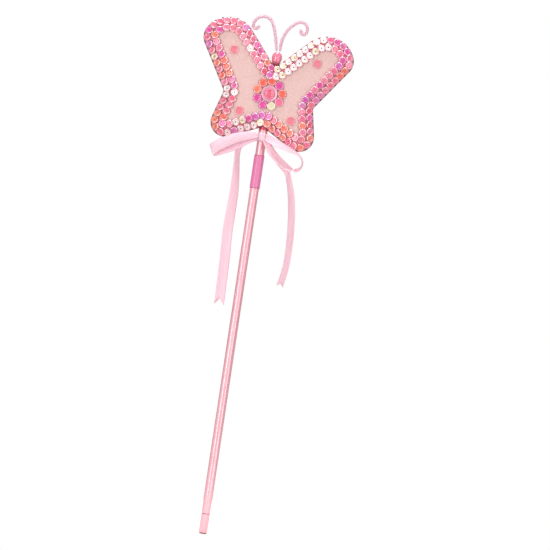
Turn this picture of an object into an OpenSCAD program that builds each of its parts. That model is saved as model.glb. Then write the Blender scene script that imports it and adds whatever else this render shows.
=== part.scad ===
// Toy wand: a padded butterfly with sequins on a plastic stick, with a ribbon bow.
// Millimetres. The stick stands along +Z from its lower end, the butterfly faces -Y.

/* [Stick] */
// Outside diameter of the stick
stick_d = 8; // [7:0.25:9]
// Wall of the stick's tube
stick_wall = 0.8; // [0.6:0.1:1.2]
// Height of the tube's upper end, inside the butterfly
stick_top = 411; // [260:1:600]
// Length of the end cap below the tube
cap_len = 18; // [12:1:30]
// Rounding of the cap's lower edge
cap_round = 1.5; // [0.5:0.1:2.5]
// Length of the cap's stem inside the tube
cap_stem = 10; // [6:1:20]

/* [Label] */
// Lower edge of the label film below the knot
label_drop = 45.5; // [41:0.5:159]
// Height of the label film
label_len = 30; // [15:0.5:32]
// Thickness of the label film
label_t = 0.4; // [0.15:0.05:0.4]

/* [Bow] */
// Height of the knot below the butterfly's reference point
bow_drop = 26; // [24:0.5:29]
// Width of the ribbon
ribbon_w = 9.5; // [8:0.25:10.5]
// Thickness of the ribbon
ribbon_t = 0.4; // [0.3:0.05:0.5]
// Height of the knot's turn of ribbon
knot_h = 7.8; // [7.6:0.1:9]
// Width of the knot's turn of ribbon
knot_w = 8; // [6:0.25:9]
// Length of the left tail below its fold
left_tail_len = 133; // [80:1:170]
// Length of the right tail below its fold
right_tail_len = 98; // [60:1:150]
// Depth of the V cut in the tail ends
tail_cut = 4.5; // [2:0.5:5]

/* [Butterfly place] */
// Depth of the stick's upper end above the butterfly's reference point
stick_in = 26; // [15:0.5:28]
// Lean of the butterfly on the stick, in degrees
head_lean = 3; // [0:0.5:4]

/* [Butterfly outline] */
// Bottom of the upper notch above the reference point
top_notch = 40; // [39:0.5:42]
// Rounding of the notches
notch_r = 4; // [3.5:0.25:5]
// Inner edge of the upper lobe from the middle
upper_in = 20.5; // [19.5:0.5:23.5]
// Height of the upper lobe's centre
upper_z = 51; // [49:0.5:53]
// Radius of the upper lobe
upper_r = 24.5; // [24:0.25:26]
// Radius of the upper lobe's outer tip
tip_r = 13.5; // [13.2:0.1:16]
// Direction in which the outer tip starts, in degrees
tip_turn = 25; // [15:1:35]
// Sideways place of the notch between the lobes
side_x = 41; // [39.5:0.5:43]
// Height of the notch between the lobes
side_z = 8.5; // [6:0.5:10]
// Sideways place of the lower lobe's centre
lower_x = 34; // [33:0.5:37]
// Height of the lower lobe's centre
lower_z = -18.2; // [-20:0.2:-16]
// Radius of the lower lobe
lower_r = 13; // [12.9:0.1:14]
// Top of the lower notch
bottom_notch = -16; // [-17:0.5:-15]

/* [Padding] */
// Thickness of the fabric panels
panel_t = 0.6; // [0.4:0.05:0.8]
// Filling between the stick and the panel
core_wall = 0.5; // [0.4:0.05:1]
// Width of the flat seam round the edge
seam_w = 1; // [0.6:0.1:1.4]
// Half thickness of the flat seam
seam_h = 0.6; // [0.4:0.05:0.8]
// Share of the padding's height reached under the outer row
crown = 0.62; // [0.55:0.01:0.7]

/* [Wing joint] */
// Sideways place of the sewn flex line
hinge_x = 15; // [14.8:0.1:16]
// Travel of a wing each way, in degrees
wing_travel = 15; // [5:1:15]

/* [Sequins] */
// Diameter of the row sequins
sequin_d = 5.9; // [5:0.1:5.9]
// Rise of a sequin's rim
sequin_rise = 0.85; // [0.6:0.05:1]
// Thickness of a sequin
sequin_t = 0.25; // [0.15:0.05:0.3]
// Spacing of the sequins along a row
sequin_pitch = 6.15; // [6.1:0.05:7]
// Diameter of the spot sequins
spot_d = 8.2; // [6:0.1:8.2]

/* [Flower] */
// Height of the flower's centre
flower_z = 14; // [13:0.5:15]
// Number of petal sequins
petal_count = 9; // [6:1:9]
// Diameter of a petal sequin
petal_d = 6.3; // [5:0.1:6.4]
// Radius of the ring of petals
petal_ring = 9.9; // [9.8:0.1:10.2]
// Diameter of the dished sequin over the petals
dish_d = 14.4; // [13:0.1:14.8]
// Diameter of the centre cup
button_d = 8.2; // [6:0.1:9]

/* [Head] */
// Width of the bead
bead_d = 9.2; // [8.4:0.1:10]
// Height of the bead
bead_h = 12; // [11:0.1:12.6]
// Share of the bead's height above its widest place
bead_round = 0.38; // [0.36:0.01:0.5]
// Diameter of the antenna wire
wire_d = 0.9; // [0.7:0.05:1]
// Diameter of the antenna's pile
pile_d = 2.7; // [2:0.1:2.8]
// Distance of each antenna wire from the middle
wire_x = 1.6; // [1.55:0.05:1.75]

/* [Hidden] */
$fn = 48;
stick_r = stick_d / 2;
upper_x = upper_in + upper_r;
cap_gap = 0.1;
cap_step = 0.1;
cap_groove = 0.6;
film_gap = 0.2;
wrap_gap = 0.15;
knot_gap = 0.25;
bore_gap = 0.1;
core_gap = 0.1;
half_seam_gap = 0.05;
hinge_gap = 0.4;
seat = 0.15;
wire_gap = 0.12;
fold_gap = 0.6;
vee = wing_travel + 2;
pad_h = stick_r + bore_gap + core_wall + core_gap + panel_t;
mid_h = seam_h + 0.1 + (pad_h - seam_h - 0.1) * crown;
band_1 = 5.5;
band_2 = 5.7;
ring_d = [0, seam_w, seam_w + band_1, seam_w + band_1 + band_2];
outer_h = [seam_h, seam_h + 0.1, mid_h, pad_h];
inner_h = [half_seam_gap, half_seam_gap, mid_h - panel_t * 1.13, pad_h - panel_t];
core_d = [seam_w + 1.2, ring_d[2], ring_d[3]];
core_h = [0.2, inner_h[2] - core_gap, inner_h[3] - core_gap];
row_1 = seam_w + band_1 / 2;
row_2 = seam_w + band_1 + band_2 / 2;
wing_wall = hinge_x + hinge_gap / 2;
strip_wall = hinge_x - hinge_gap / 2;
// The butterfly is pushed on to the stick's end, the bow is tied below it, the label sits below the bow
head_z = stick_top - stick_in;
bow_z = head_z - bow_drop;
label_z = bow_z - label_drop;
// Where the stick crosses the lower notch, seen from the leaning butterfly
mouth_x = -bottom_notch * sin(head_lean);
mouth_w = stick_r + 2.5;
stem_w = wire_x + wire_d / 2 + 2;
stem_mouth = wire_d / 2 + 0.45;
bead_z = top_notch + 0.6 + bead_h / 2;
stem_low = max(stick_in + 3.5, top_notch - 10.5);
bend_gap = 0.35 + 0.36 * wire_d;
bend_z = bead_z + bead_h / 2 + 0.5 + bend_gap;

// The butterfly's own frame, leaning on the stick
module head() {
    translate([0, 0, head_z])
    rotate([0, head_lean, 0])
    children();
}

// Half outline: circles joined by tangents, [x, z, radius], a notch has a negative radius
c_top = [0, top_notch + notch_r, -notch_r];
c_up = [upper_x, upper_z, upper_r];
c_tip = [
    upper_x + (upper_r - tip_r) * cos(tip_turn),
    upper_z + (upper_r - tip_r) * sin(tip_turn),
    tip_r
];
c_side = [side_x + notch_r, side_z, -notch_r];
c_low = [lower_x, lower_z, lower_r];
c_bot = [0, bottom_notch - notch_r, -notch_r];

// Direction of the outward normal of the tangent from one circle to the next
function tangent(p, q) =
    let (dx = q[0] - p[0], dz = q[1] - p[1])
    atan2(dz, dx) + acos(min(1, (p[2] - q[2]) / norm([dx, dz])));

a_top = tangent(c_top, c_up);
a_out = tangent(c_tip, c_side);
a_in = tangent(c_side, c_low);
a_bot = tangent(c_low, c_bot);

// A point of the outline set in by d, on a circle or on a tangent
function on_arc(c, a, d) = [c[0] + (c[2] - d) * cos(a), c[1] + (c[2] - d) * sin(a)];
function on_line(c, a, x, d) = [x, c[1] + (c[2] - d - (x - c[0]) * cos(a)) / sin(a)];
function arc_run(c, a, b, n, d) = [for (k = [0:n]) on_arc(c, a + (b - a) * k / n, d)];

// Wing outline set in by d, cut at x on the flex line, clockwise from the top
function wing_run(d, x) = concat(
    [on_line(c_up, a_top, x, d)],
    arc_run(c_up, a_top, tip_turn, 12, d),
    [for (k = [1:6]) on_arc(c_tip, tip_turn + (a_out - tip_turn) * k / 6, d)],
    arc_run(c_side, a_out, a_in, 6, d),
    arc_run(c_low, a_in, a_bot, 12, d),
    [on_line(c_low, a_bot, x, d)]
);

// Centre strip, its upper edge from left to right and its lower edge back
function flip(list) = [for (k = [len(list) - 1:-1:0]) [-list[k][0], list[k][1]]];
function between(p, q, parts) = [for (t = parts) p + (q - p) * t];
function top_side(d, x) = between(
    on_arc(c_top, a_top, d), on_line(c_up, a_top, x, d), [0.15, 0.4, 1]
);
function low_side(d, x) = between(
    on_arc(c_bot, a_bot, d), on_line(c_low, a_bot, x, d), [0.15, 0.3, 0.45, 0.65, 1]
);
function strip_top(d, x) = concat(
    flip(top_side(d, x)), arc_run(c_top, 180 - a_top, a_top, 8, d), top_side(d, x)
);
function strip_bottom(d, x) =
    let (run = concat(arc_run(c_bot, -90, a_bot, 4, d), low_side(d, x)), n = len(run))
    concat(
        [for (k = [n - 1:-1:1]) run[k]],
        [for (p = run) [-p[0], p[1]]]
    );

// The edge opens round the stick below and round the two wires above
function bulge(x, w) = sqrt(max(0, 1 - pow(x / w, 2)));
function low_mouth(x) = pad_h * bulge(x - mouth_x, mouth_w);
function high_mouth(x) = (stem_mouth + panel_t) * bulge(x, stem_w);

function wing_ring(d, h) =
    [for (p = wing_run(d, wing_wall + h * tan(vee))) [p[0], -h, p[1]]];
function strip_ring(d, h, less) = concat(
    [for (p = strip_top(d, strip_wall)) [p[0], -max(h, high_mouth(p[0]) - less), p[1]]],
    [for (p = strip_bottom(d, strip_wall)) [p[0], -max(h, low_mouth(p[0]) - less), p[1]]]
);

wing_eye = [hinge_x + 7.5, side_z + 4.5];
strip_eye = [0, (top_notch + bottom_notch) / 2];
wing_count = len(wing_run(0, hinge_x));
strip_half = len(strip_top(0, hinge_x));
strip_all = strip_half + len(strip_bottom(0, hinge_x));
wing_walls = [wing_count - 1];
strip_walls = [strip_half - 1, strip_all - 1];

function two(a, b, c, d) = [[a, b, c], [a, c, d]];
function two_back(a, b, c, d) = [[c, b, a], [d, c, a]];
function flat(list) = [for (a = list) for (b = a) b];
function is_wall(i, walls) = len([for (w = walls) if (w == i) 1]) > 0;

// Closed fabric panel between an outer and an inner sheet of rings
module panel_solid(outer, inner, eye, walls) {
    m = len(outer[0]);
    n = len(outer);
    last = n - 1;
    pts = concat(
        flat(outer), [[eye[0], outer[last][0][1], eye[1]]],
        flat(inner), [[eye[0], inner[last][0][1], eye[1]]]
    );
    s = n * m + 1;
    run = [for (i = [0:m - 1]) if (!is_wall(i, walls)) i];
    skin = flat([for (j = [0:last - 1]) for (i = run)
        let (k = i + 1)
        concat(
            two(j * m + i, j * m + k, (j + 1) * m + k, (j + 1) * m + i),
            two_back(s + j * m + i, s + j * m + k, s + (j + 1) * m + k, s + (j + 1) * m + i)
        )]);
    caps = flat([for (i = [0:m - 1])
        let (k = (i + 1) % m)
        [
            [last * m + i, last * m + k, n * m],
            [s + last * m + k, s + last * m + i, s + n * m]
        ]]);
    edge = flat([for (i = run) two(i + 1, i, s + i, s + i + 1)]);
    ends = flat([for (w = walls)
        let (k = (w + 1) % m)
        concat(
            flat([for (j = [0:last - 1]) concat(
                two((j + 1) * m + w, j * m + w, s + j * m + w, s + (j + 1) * m + w),
                two(j * m + k, (j + 1) * m + k, s + (j + 1) * m + k, s + j * m + k)
            )]),
            two(last * m + k, last * m + w, s + last * m + w, s + last * m + k)
        )]);
    polyhedron(pts, concat(skin, caps, edge, ends), convexity = 8);
}

// Closed filling from front rings and the same rings at the back
module core_solid(rings, eye) {
    m = len(rings[0]);
    n = len(rings);
    last = n - 1;
    back = [for (r = rings) [for (p = r) [p[0], -p[1], p[2]]]];
    pts = concat(
        flat(rings), [[eye[0], rings[last][0][1], eye[1]]],
        flat(back), [[eye[0], back[last][0][1], eye[1]]]
    );
    s = n * m + 1;
    sides = flat([for (j = [0:last - 1]) for (i = [0:m - 1])
        let (k = (i + 1) % m)
        concat(
            two(j * m + i, j * m + k, (j + 1) * m + k, (j + 1) * m + i),
            two_back(s + j * m + i, s + j * m + k, s + (j + 1) * m + k, s + (j + 1) * m + i)
        )]);
    caps = flat([for (i = [0:m - 1])
        let (k = (i + 1) % m)
        [
            [last * m + i, last * m + k, n * m],
            [s + last * m + k, s + last * m + i, s + n * m]
        ]]);
    edge = flat([for (i = [0:m - 1])
        let (k = (i + 1) % m)
        two(k, i, s + i, s + k)]);
    polyhedron(pts, concat(sides, caps, edge), convexity = 8);
}

module wing_panel() {
    panel_solid(
        [for (j = [0:3]) wing_ring(ring_d[j], outer_h[j])],
        [for (j = [0:3]) wing_ring(ring_d[j], inner_h[j])],
        wing_eye, wing_walls
    );
}

module strip_panel() {
    panel_solid(
        [for (j = [0:3]) strip_ring(ring_d[j], outer_h[j], 0)],
        [for (j = [0:3]) strip_ring(ring_d[j], inner_h[j], panel_t)],
        strip_eye, strip_walls
    );
}

module wing_core() {
    core_solid([for (j = [0:2]) wing_ring(core_d[j], core_h[j])], wing_eye);
}

module strip_core() {
    core_solid(
        [for (j = [0:2]) strip_ring(core_d[j], core_h[j], panel_t + 2.5 * core_gap)],
        strip_eye
    );
}

// Cup sequin, its hole closed by the sewing stitch
module cup(d, rise) {
    rotate_extrude()
    polygon([
        [0, 0], [0.6, 0], [d / 2, rise],
        [d / 2, rise + sequin_t], [0.6, sequin_t], [0, sequin_t]
    ]);
}

module facing(v) {
    rotate([0, acos(v[2]), atan2(v[1], v[0])])
    children();
}

// Rows: fine samples [x, z, direction] along the outline set in by d
function fine_line(p, q, a) =
    let (n = ceil(norm(q - p) / 0.2))
    [for (k = [0:n - 1]) concat(p + (q - p) * k / n, [a])];
function fine_arc(c, a, b, d) =
    let (n = 1 + ceil(abs(c[2] - d) * abs(b - a) * 0.0873))
    [for (k = [0:n - 1]) let (t = a + (b - a) * k / n) concat(on_arc(c, t, d), [t])];
function row_line(d) = concat(
    fine_arc(c_top, 90, a_top, d),
    fine_line(on_arc(c_top, a_top, d), on_arc(c_up, a_top, d), a_top),
    fine_arc(c_up, a_top, tip_turn, d),
    fine_arc(c_tip, tip_turn, a_out, d),
    fine_line(on_arc(c_tip, a_out, d), on_arc(c_side, a_out, d), a_out),
    fine_arc(c_side, a_out, a_in, d),
    fine_line(on_arc(c_side, a_in, d), on_arc(c_low, a_in, d), a_in),
    fine_arc(c_low, a_in, a_bot, d),
    fine_line(on_arc(c_low, a_bot, d), on_arc(c_bot, a_bot, d), a_bot),
    fine_arc(c_bot, a_bot, -90, d)
);

// Does a sequin at p lie on fabric that is free for it?
function on_fabric(p, low, high, top_x, low_x) =
    (p[0] <= low || p[0] >= high) && p[0] >= (p[1] > 0 ? top_x : low_x);
function far_enough(p, q, extra) =
    norm([p[0] - q[0], p[1] - q[1]])
    >= sequin_pitch + (((p[0] < hinge_x) != (q[0] < hinge_x)) ? extra : 0);
function pick(run, low, high, top_x, low_x, extra) = [
    for (
        i = 0, last = [-99, 99], hit = false;
        i < 2 * len(run);
        last = hit ? run[floor(i / 2)] : last,
        i = i + 1,
        hit = i % 2 == 1
            && on_fabric(run[floor(i / 2)], low, high, top_x, low_x)
            && far_enough(run[floor(i / 2)], last, extra)
    )
    if (hit) run[floor(i / 2)]
];

// Height and tilt of the panel under a row sample
function mouth_at(x, z) = abs(x) > strip_wall ? 0 : z > 0 ? high_mouth(x) : low_mouth(x);
function height_at(d, p) =
    let (
        j = d < ring_d[2] ? 1 : 2,
        da = d - ring_d[j],
        db = d - ring_d[j + 1],
        a = max(outer_h[j], mouth_at(p[0] + da * cos(p[2]), p[1])),
        b = max(outer_h[j + 1], mouth_at(p[0] + db * cos(p[2]), p[1]))
    )
    [a + (b - a) * da / (da - db), atan((b - a) / (da - db))];

edge_1 = wing_wall + mid_h * 0.5 * tan(vee) + 0.7;
edge_2 = wing_wall + (mid_h + pad_h) * 0.5 * tan(vee) + 1.9;
outer_row = pick(row_line(row_1), strip_wall - 0.8, edge_1, 3.3, mouth_w + mouth_x + 2.4, 0.75);
inner_row = pick(row_line(row_2), strip_wall - 0.8, edge_2, 0, 3.2, 1.7);

module sequin_at(p, d) {
    h = height_at(d, p);
    v = [cos(p[2]) * sin(h[1]), -cos(h[1]), sin(p[2]) * sin(h[1])];
    translate([p[0], -h[0], p[1]] + v * seat)
    facing(v)
    cup(sequin_d, sequin_rise);
}

module wing_row(row, d) {
    for (p = row) {
        if (p[0] > hinge_x) {
            sequin_at(p, d);
        }
    }
}

module strip_rows() {
    for (p = outer_row) {
        if (p[0] < hinge_x) {
            sequin_at(p, row_1);
        }
    }
    for (p = inner_row) {
        if (p[0] < hinge_x && p[0] > 0.5) {
            sequin_at(p, row_2);
        }
    }
}

// Ribbon strip along control rows [x, y, z, across x, across y, across z, width]
function spline(p, q, r, s, t) =
    0.5 * (2 * q + (r - p) * t + (2 * p - 5 * q + 4 * r - s) * t * t
    + (3 * q - p - 3 * r + s) * t * t * t);
function stations(c, m) =
    let (n = len(c))
    concat(
        [for (k = [0:n - 2]) for (i = [0:m - 1])
            spline(
                k == 0 ? 2 * c[0] - c[1] : c[k - 1], c[k], c[k + 1],
                k == n - 2 ? 2 * c[n - 1] - c[n - 2] : c[k + 2], i / m
            )],
        [c[n - 1]]
    );
function unit(v) = v / norm(v);
function xyz(s) = [s[0], s[1], s[2]];

module ribbon(rows, m, cut) {
    st = stations(rows, m);
    n = len(st);
    pts = flat([for (i = [0:n - 1])
        let (
            p = xyz(st[i]),
            t = unit(xyz(st[min(i + 1, n - 1)]) - xyz(st[max(i - 1, 0)])),
            w0 = [st[i][3], st[i][4], st[i][5]],
            w = unit(w0 - t * (w0 * t)) * st[i][6] / 2,
            f = unit(cross(t, w)) * ribbon_t / 2,
            b = i == n - 1 ? t * cut : [0, 0, 0]
        )
        [p - w + f, p - b + f, p + w + f, p + w - f, p - b - f, p - w - f]]);
    sides = flat([for (i = [0:n - 2]) for (k = [0:5])
        let (l = (k + 1) % 6)
        two(i * 6 + k, (i + 1) * 6 + k, (i + 1) * 6 + l, i * 6 + l)]);
    e = (n - 1) * 6;
    caps = concat(
        two(0, 1, 4, 5), two(1, 2, 3, 4),
        two(e + 5, e + 4, e + 1, e), two(e + 4, e + 3, e + 2, e + 1)
    );
    polyhedron(pts, concat(sides, caps), convexity = 8);
}

// The knot's place in front of the wrapped stick
wrap_r = stick_r + wrap_gap + ribbon_t;
knot_depth = 4 * ribbon_t + 3.2;
knot_y = -(wrap_r + knot_gap + knot_depth / 2);
gather = knot_h - 2 * ribbon_t - 1.8;
layer = ribbon_t + 0.6;

// Path of an antenna: arcs [radius, turn] from a start point and direction, left turns positive
left_arcs = [[133, 7.6], [33, 11], [8.8, 64.5], [9.4, 86], [2.6, 190]];
right_arcs = [[36, -12.7], [27, -43.7], [12.2, -15], [6.1, -122.8], [10, -13], [2.6, -190]];
function centre_of(s, r, turn) =
    let (side = turn > 0 ? 90 : -90)
    [s[0] + r * cos(s[2] + side), s[1] + r * sin(s[2] + side)];
function step(s, r, turn) =
    let (c = centre_of(s, r, turn), side = turn > 0 ? -90 : 90, a = s[2] + turn)
    [c[0] + r * cos(a + side), c[1] + r * sin(a + side), a];
function states(s, list, k = 0) =
    k == len(list) ? [s]
    : concat([s], states(step(s, list[k][0], list[k][1]), list, k + 1));

// Points [x, z, direction] along the arcs, a station for about every 16 degrees of turn
function arc_stations(start, list) =
    let (st = states(start, list))
    concat(
        [for (k = [0:len(list) - 1])
            let (n = max(2, round(abs(list[k][1]) / 16)))
            for (i = [0:n - 1])
            step(st[k], list[k][0], list[k][1] * (i + 0.0001) / n)],
        [st[len(list)]]
    );

// Round rod along the arcs, with a hole through it where one is given
module bent_rod(start, list, r, hole, sides) {
    st = arc_stations(start, list);
    n = len(st);
    m = sides;
    rings = hole > 0 ? 2 : 1;
    pts = [for (q = [0:rings - 1]) for (s = st) for (k = [0:m - 1])
        let (e = q == 0 ? r : hole, a = 360 * k / m)
        [
            s[0] + e * cos(a) * cos(s[2] - 90),
            e * sin(a),
            s[1] + e * cos(a) * sin(s[2] - 90)
        ]];
    h = n * m;
    z = (n - 1) * m;
    outside = flat([for (i = [0:n - 2]) for (k = [0:m - 1])
        let (l = (k + 1) % m)
        two(i * m + k, i * m + l, (i + 1) * m + l, (i + 1) * m + k)]);
    inside = rings == 1 ? [] : flat([for (i = [0:n - 2]) for (k = [0:m - 1])
        let (l = (k + 1) % m)
        two(h + i * m + l, h + i * m + k, h + (i + 1) * m + k, h + (i + 1) * m + l)]);
    ends = rings == 1
        ? flat([for (k = [1:m - 2]) [[0, k + 1, k], [z, z + k, z + k + 1]]])
        : flat([for (k = [0:m - 1])
            let (l = (k + 1) % m)
            concat(two(l, k, h + k, h + l), two(z + k, z + l, h + z + l, h + z + k))]);
    polyhedron(pts, concat(outside, inside, ends), convexity = 8);
}

// Bare wire between the bend and the pile
bare_len = pile_d / 2 + 0.35;
left_start = [-wire_x, bend_z, 102.5];
right_start = [wire_x, bend_z, 98.5];
left_bare = [100, bare_len / 100 * 180 / PI];
right_bare = [60, -bare_len / 60 * 180 / PI];
left_foot = step(left_start, left_bare[0], left_bare[1]);
right_foot = step(right_start, right_bare[0], right_bare[1]);

module antenna_wire(start, bare, list) {
    bent_rod(start, concat([bare], list), wire_d / 2, 0, 7);
}

module stick_tube() {
    color([0.93, 0.62, 0.72])
    translate([0, 0, cap_len])
    difference() {
        cylinder(r = stick_r, h = stick_top - cap_len);
        translate([0, 0, -1])
        cylinder(r = stick_r - stick_wall, h = stick_top - cap_len + 2);
    }
}

module end_cap() {
    color([0.9, 0.55, 0.66])
    union() {
        rotate_extrude()
        difference() {
            square([stick_r - cap_step, cap_len - cap_groove]);
            translate([stick_r - cap_step - cap_round, 0])
            difference() {
                translate([0, -1])
                square([cap_round + 1, cap_round + 1]);
                translate([0, cap_round])
                circle(cap_round);
            }
        }
        cylinder(r = stick_r - stick_wall - cap_gap, h = cap_len + cap_stem);
    }
}

module label_wrap() {
    color([0.94, 0.6, 0.75])
    translate([0, 0, label_z])
    difference() {
        cylinder(r = stick_r + film_gap + label_t, h = label_len);
        translate([0, 0, -1])
        cylinder(r = stick_r + film_gap, h = label_len + 2);
    }
}

module bow_wrap() {
    color([0.97, 0.8, 0.82])
    translate([0, 0, bow_z - knot_h / 2])
    difference() {
        cylinder(r = wrap_r, h = knot_h);
        translate([0, 0, -1])
        cylinder(r = stick_r + wrap_gap, h = knot_h + 2);
    }
}

module knot_shape(less) {
    r = knot_depth / 2 - less;
    h = knot_h / 2 - less;
    square([2 * r, 2 * (h - r)], center = true);
    translate([0, h - r])
    circle(r);
    translate([0, r - h])
    circle(r);
}

module bow_knot() {
    color([0.98, 0.82, 0.84])
    translate([-knot_w / 2, knot_y, bow_z])
    rotate([90, 0, 90])
    linear_extrude(knot_w)
    difference() {
        knot_shape(0);
        knot_shape(ribbon_t);
    }
}

module bow_left_loop() {
    y = knot_y;
    color([0.98, 0.82, 0.84])
    ribbon([
        [-1.2, y - layer, bow_z + 0.1, 0, 0, 1, gather],
        [-knot_w / 2 - 1, y - layer, bow_z - 0.4, 0.1, 0, 1, gather],
        [-15, y - 3.3, bow_z - 5.6, 0.42, 0, 0.9, ribbon_w * 0.9],
        [-28, y - 4.6, bow_z - 12, 0.45, 0, 0.89, ribbon_w],
        [-39, y - 4.2, bow_z - 17.6, 0.45, 0, 0.89, ribbon_w * 1.04],
        [-44.5, y - 2, bow_z - 20.4, 0.45, 0, 0.89, ribbon_w * 1.04],
        [-44, y + 0.6, bow_z - 20.2, 0.45, 0, 0.89, ribbon_w * 1.04],
        [-38, y + 1.2, bow_z - 17.2, 0.45, 0, 0.89, ribbon_w * 1.04],
        [-28, y + 0.7, bow_z - 12, 0.45, 0, 0.89, ribbon_w],
        [-15, y + 0.2, bow_z - 5.6, 0.42, 0, 0.9, ribbon_w * 0.9],
        [-knot_w / 2 - 1, y, bow_z - 0.4, 0.1, 0, 1, gather],
        [-1.2, y, bow_z + 0.1, 0, 0, 1, gather]
    ], 3, 0);
}

module bow_right_loop() {
    y = knot_y;
    color([0.98, 0.82, 0.84])
    ribbon([
        [1.2, y - layer, bow_z + 0.1, 0, 0, 1, gather],
        [knot_w / 2 + 1, y - layer, bow_z, 0, 0.1, 1, gather],
        [13, y - 1.8, bow_z - 2.2, 0.1, 0.75, 0.7, ribbon_w * 0.85],
        [24, y - 2, bow_z - 6, 0, 1, 0.25, ribbon_w * 0.95],
        [33, y - 2, bow_z - 10.5, 0, 1, 0.1, ribbon_w],
        [38.5, y - 2, bow_z - 17, 0, 1, 0, ribbon_w],
        [37.5, y - 2, bow_z - 23.5, 0, 1, 0, ribbon_w],
        [32, y - 2, bow_z - 26, 0, 1, 0, ribbon_w],
        [25.5, y - 2, bow_z - 22.5, 0, 1, 0.1, ribbon_w],
        [17, y - 2, bow_z - 14.5, 0, 1, 0.2, ribbon_w * 0.9],
        [10, y - 1.3, bow_z - 6.5, 0, 0.8, 0.6, ribbon_w * 0.8],
        [knot_w / 2 + 1, y, bow_z - 0.5, 0, 0.1, 1, gather],
        [1.2, y, bow_z + 0.1, 0, 0, 1, gather]
    ], 3, 0);
}

// The tails hang from folds under the loops, each fold level across its ribbon
left_fold = [-20.3, knot_y + layer + 1.8, bow_z - 19];
right_fold = [29.3, knot_y + layer + 1.2, bow_z - 31.5];
left_across = [0.8, 0.6, 0];
right_across = [0.75, -0.66, 0];

module left_tail_root() {
    y = knot_y + layer;
    f = left_fold;
    w = left_across;
    color([0.97, 0.8, 0.82])
    ribbon([
        [-1.2, y, bow_z - 0.2, 0, 0, 1, 4.2],
        [-knot_w / 2 - 1, y + 0.1, bow_z - 0.9, -0.1, 0, 1, 4.2],
        [-12, y + 1, bow_z - 5.4, -0.6, -0.05, 0.8, 4.8],
        [-18.6, y + 1.6, bow_z - 11, -0.85, -0.3, 0.4, 5.8],
        [f[0], f[1], f[2] + fold_gap + 3, -w[0], -w[1], 0, 6.8],
        [f[0], f[1], f[2] + fold_gap, -w[0], -w[1], 0, 7]
    ], 3, 0);
}

module left_tail() {
    x = left_fold[0];
    y = left_fold[1];
    z = left_fold[2];
    w = left_across;
    s = left_tail_len / 133;
    color([0.97, 0.8, 0.82])
    ribbon([
        [x, y, z, w[0], w[1], 0, 7],
        [x, y, z - 5 * s, w[0], w[1], 0, 7.4],
        [x, y - 0.3, z - 16 * s, 0.9, 0.43, 0, ribbon_w * 0.93],
        [x + 0.5, y - 0.7, z - 35 * s, 1, 0.05, 0, ribbon_w],
        [x + 1.7, y + 0.3, z - 60 * s, 1, -0.15, 0, ribbon_w],
        [x + 2.8, y - 0.4, z - 92 * s, 1, 0.05, 0, ribbon_w],
        [x + 4.4, y + 0.3, z - 133 * s, 1, 0.12, 0, ribbon_w]
    ], 4, tail_cut);
}

module right_tail_root() {
    y = knot_y + layer;
    f = right_fold;
    w = right_across;
    color([0.97, 0.8, 0.82])
    ribbon([
        [1.2, y, bow_z - 0.2, 0, 0, 1, 4.2],
        [knot_w / 2 + 1.4, y + 0.2, bow_z - 1, 0.2, 0, 0.97, 4],
        [9.2, y + 0.6, bow_z - 10, 0.8, 0, 0.6, 4],
        [18, y + 0.8, bow_z - 21, 0.69, -0.1, 0.72, 4.6],
        [26, y + 1, bow_z - 26.6, 0.7, -0.3, 0.6, 5.6],
        [f[0] - 0.3, f[1], f[2] + fold_gap + 2.5, w[0], w[1], 0, 6.8],
        [f[0], f[1], f[2] + fold_gap, w[0], w[1], 0, 7]
    ], 3, 0);
}

module right_tail() {
    x = right_fold[0];
    y = right_fold[1];
    z = right_fold[2];
    w = right_across;
    s = right_tail_len / 98;
    color([0.97, 0.8, 0.82])
    ribbon([
        [x, y, z, w[0], w[1], 0, 7],
        [x + 0.8, y, z - 3.5 * s, w[0], w[1], 0, 7.4],
        [x + 4, y + 0.3, z - 13 * s, 0.75, -0.66, 0, ribbon_w * 0.95],
        [x + 7.2, y - 0.4, z - 32 * s, 0.74, -0.67, 0, ribbon_w],
        [x + 7.8, y + 0.3, z - 53 * s, 0.74, -0.67, 0, ribbon_w],
        [x + 7.3, y - 0.2, z - 74 * s, 0.75, -0.66, 0, ribbon_w],
        [x + 6, y + 0.3, z - 98 * s, 0.78, -0.62, 0, ribbon_w]
    ], 3, min(tail_cut, 3.5));
}

module centre_filling() {
    color([0.95, 0.95, 0.95])
    difference() {
        head()
        strip_core();
        translate([0, 0, head_z - 60])
        cylinder(r = stick_r + bore_gap, h = stick_in + 0.3 + 60);
        for (s = [-1, 1]) {
            head()
            translate([s * wire_x, 0, stem_low - 0.2])
            cylinder(r = wire_d / 2 + wire_gap, h = 30);
        }
    }
}

module centre_front_panel() {
    color([0.95, 0.8, 0.77])
    head()
    strip_panel();
}

module centre_back_panel() {
    color([0.93, 0.7, 0.74])
    head()
    mirror([0, 1, 0])
    strip_panel();
}

module left_wing_filling() {
    color([0.95, 0.95, 0.95])
    head()
    mirror([1, 0, 0])
    wing_core();
}

module left_wing_front_panel() {
    color([0.95, 0.8, 0.77])
    head()
    mirror([1, 0, 0])
    wing_panel();
}

module left_wing_back_panel() {
    color([0.93, 0.7, 0.74])
    head()
    mirror([1, 0, 0])
    mirror([0, 1, 0])
    wing_panel();
}

module right_wing_filling() {
    color([0.95, 0.95, 0.95])
    head()
    wing_core();
}

module right_wing_front_panel() {
    color([0.95, 0.8, 0.77])
    head()
    wing_panel();
}

module right_wing_back_panel() {
    color([0.93, 0.7, 0.74])
    head()
    mirror([0, 1, 0])
    wing_panel();
}

module centre_sequins() {
    color([0.9, 0.3, 0.5])
    head() {
        strip_rows();
        mirror([1, 0, 0])
        strip_rows();
        sequin_at([0, top_notch - row_2, 90], row_2);
        sequin_at([mouth_x, bottom_notch + row_1, -90], row_1);
    }
}

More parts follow.
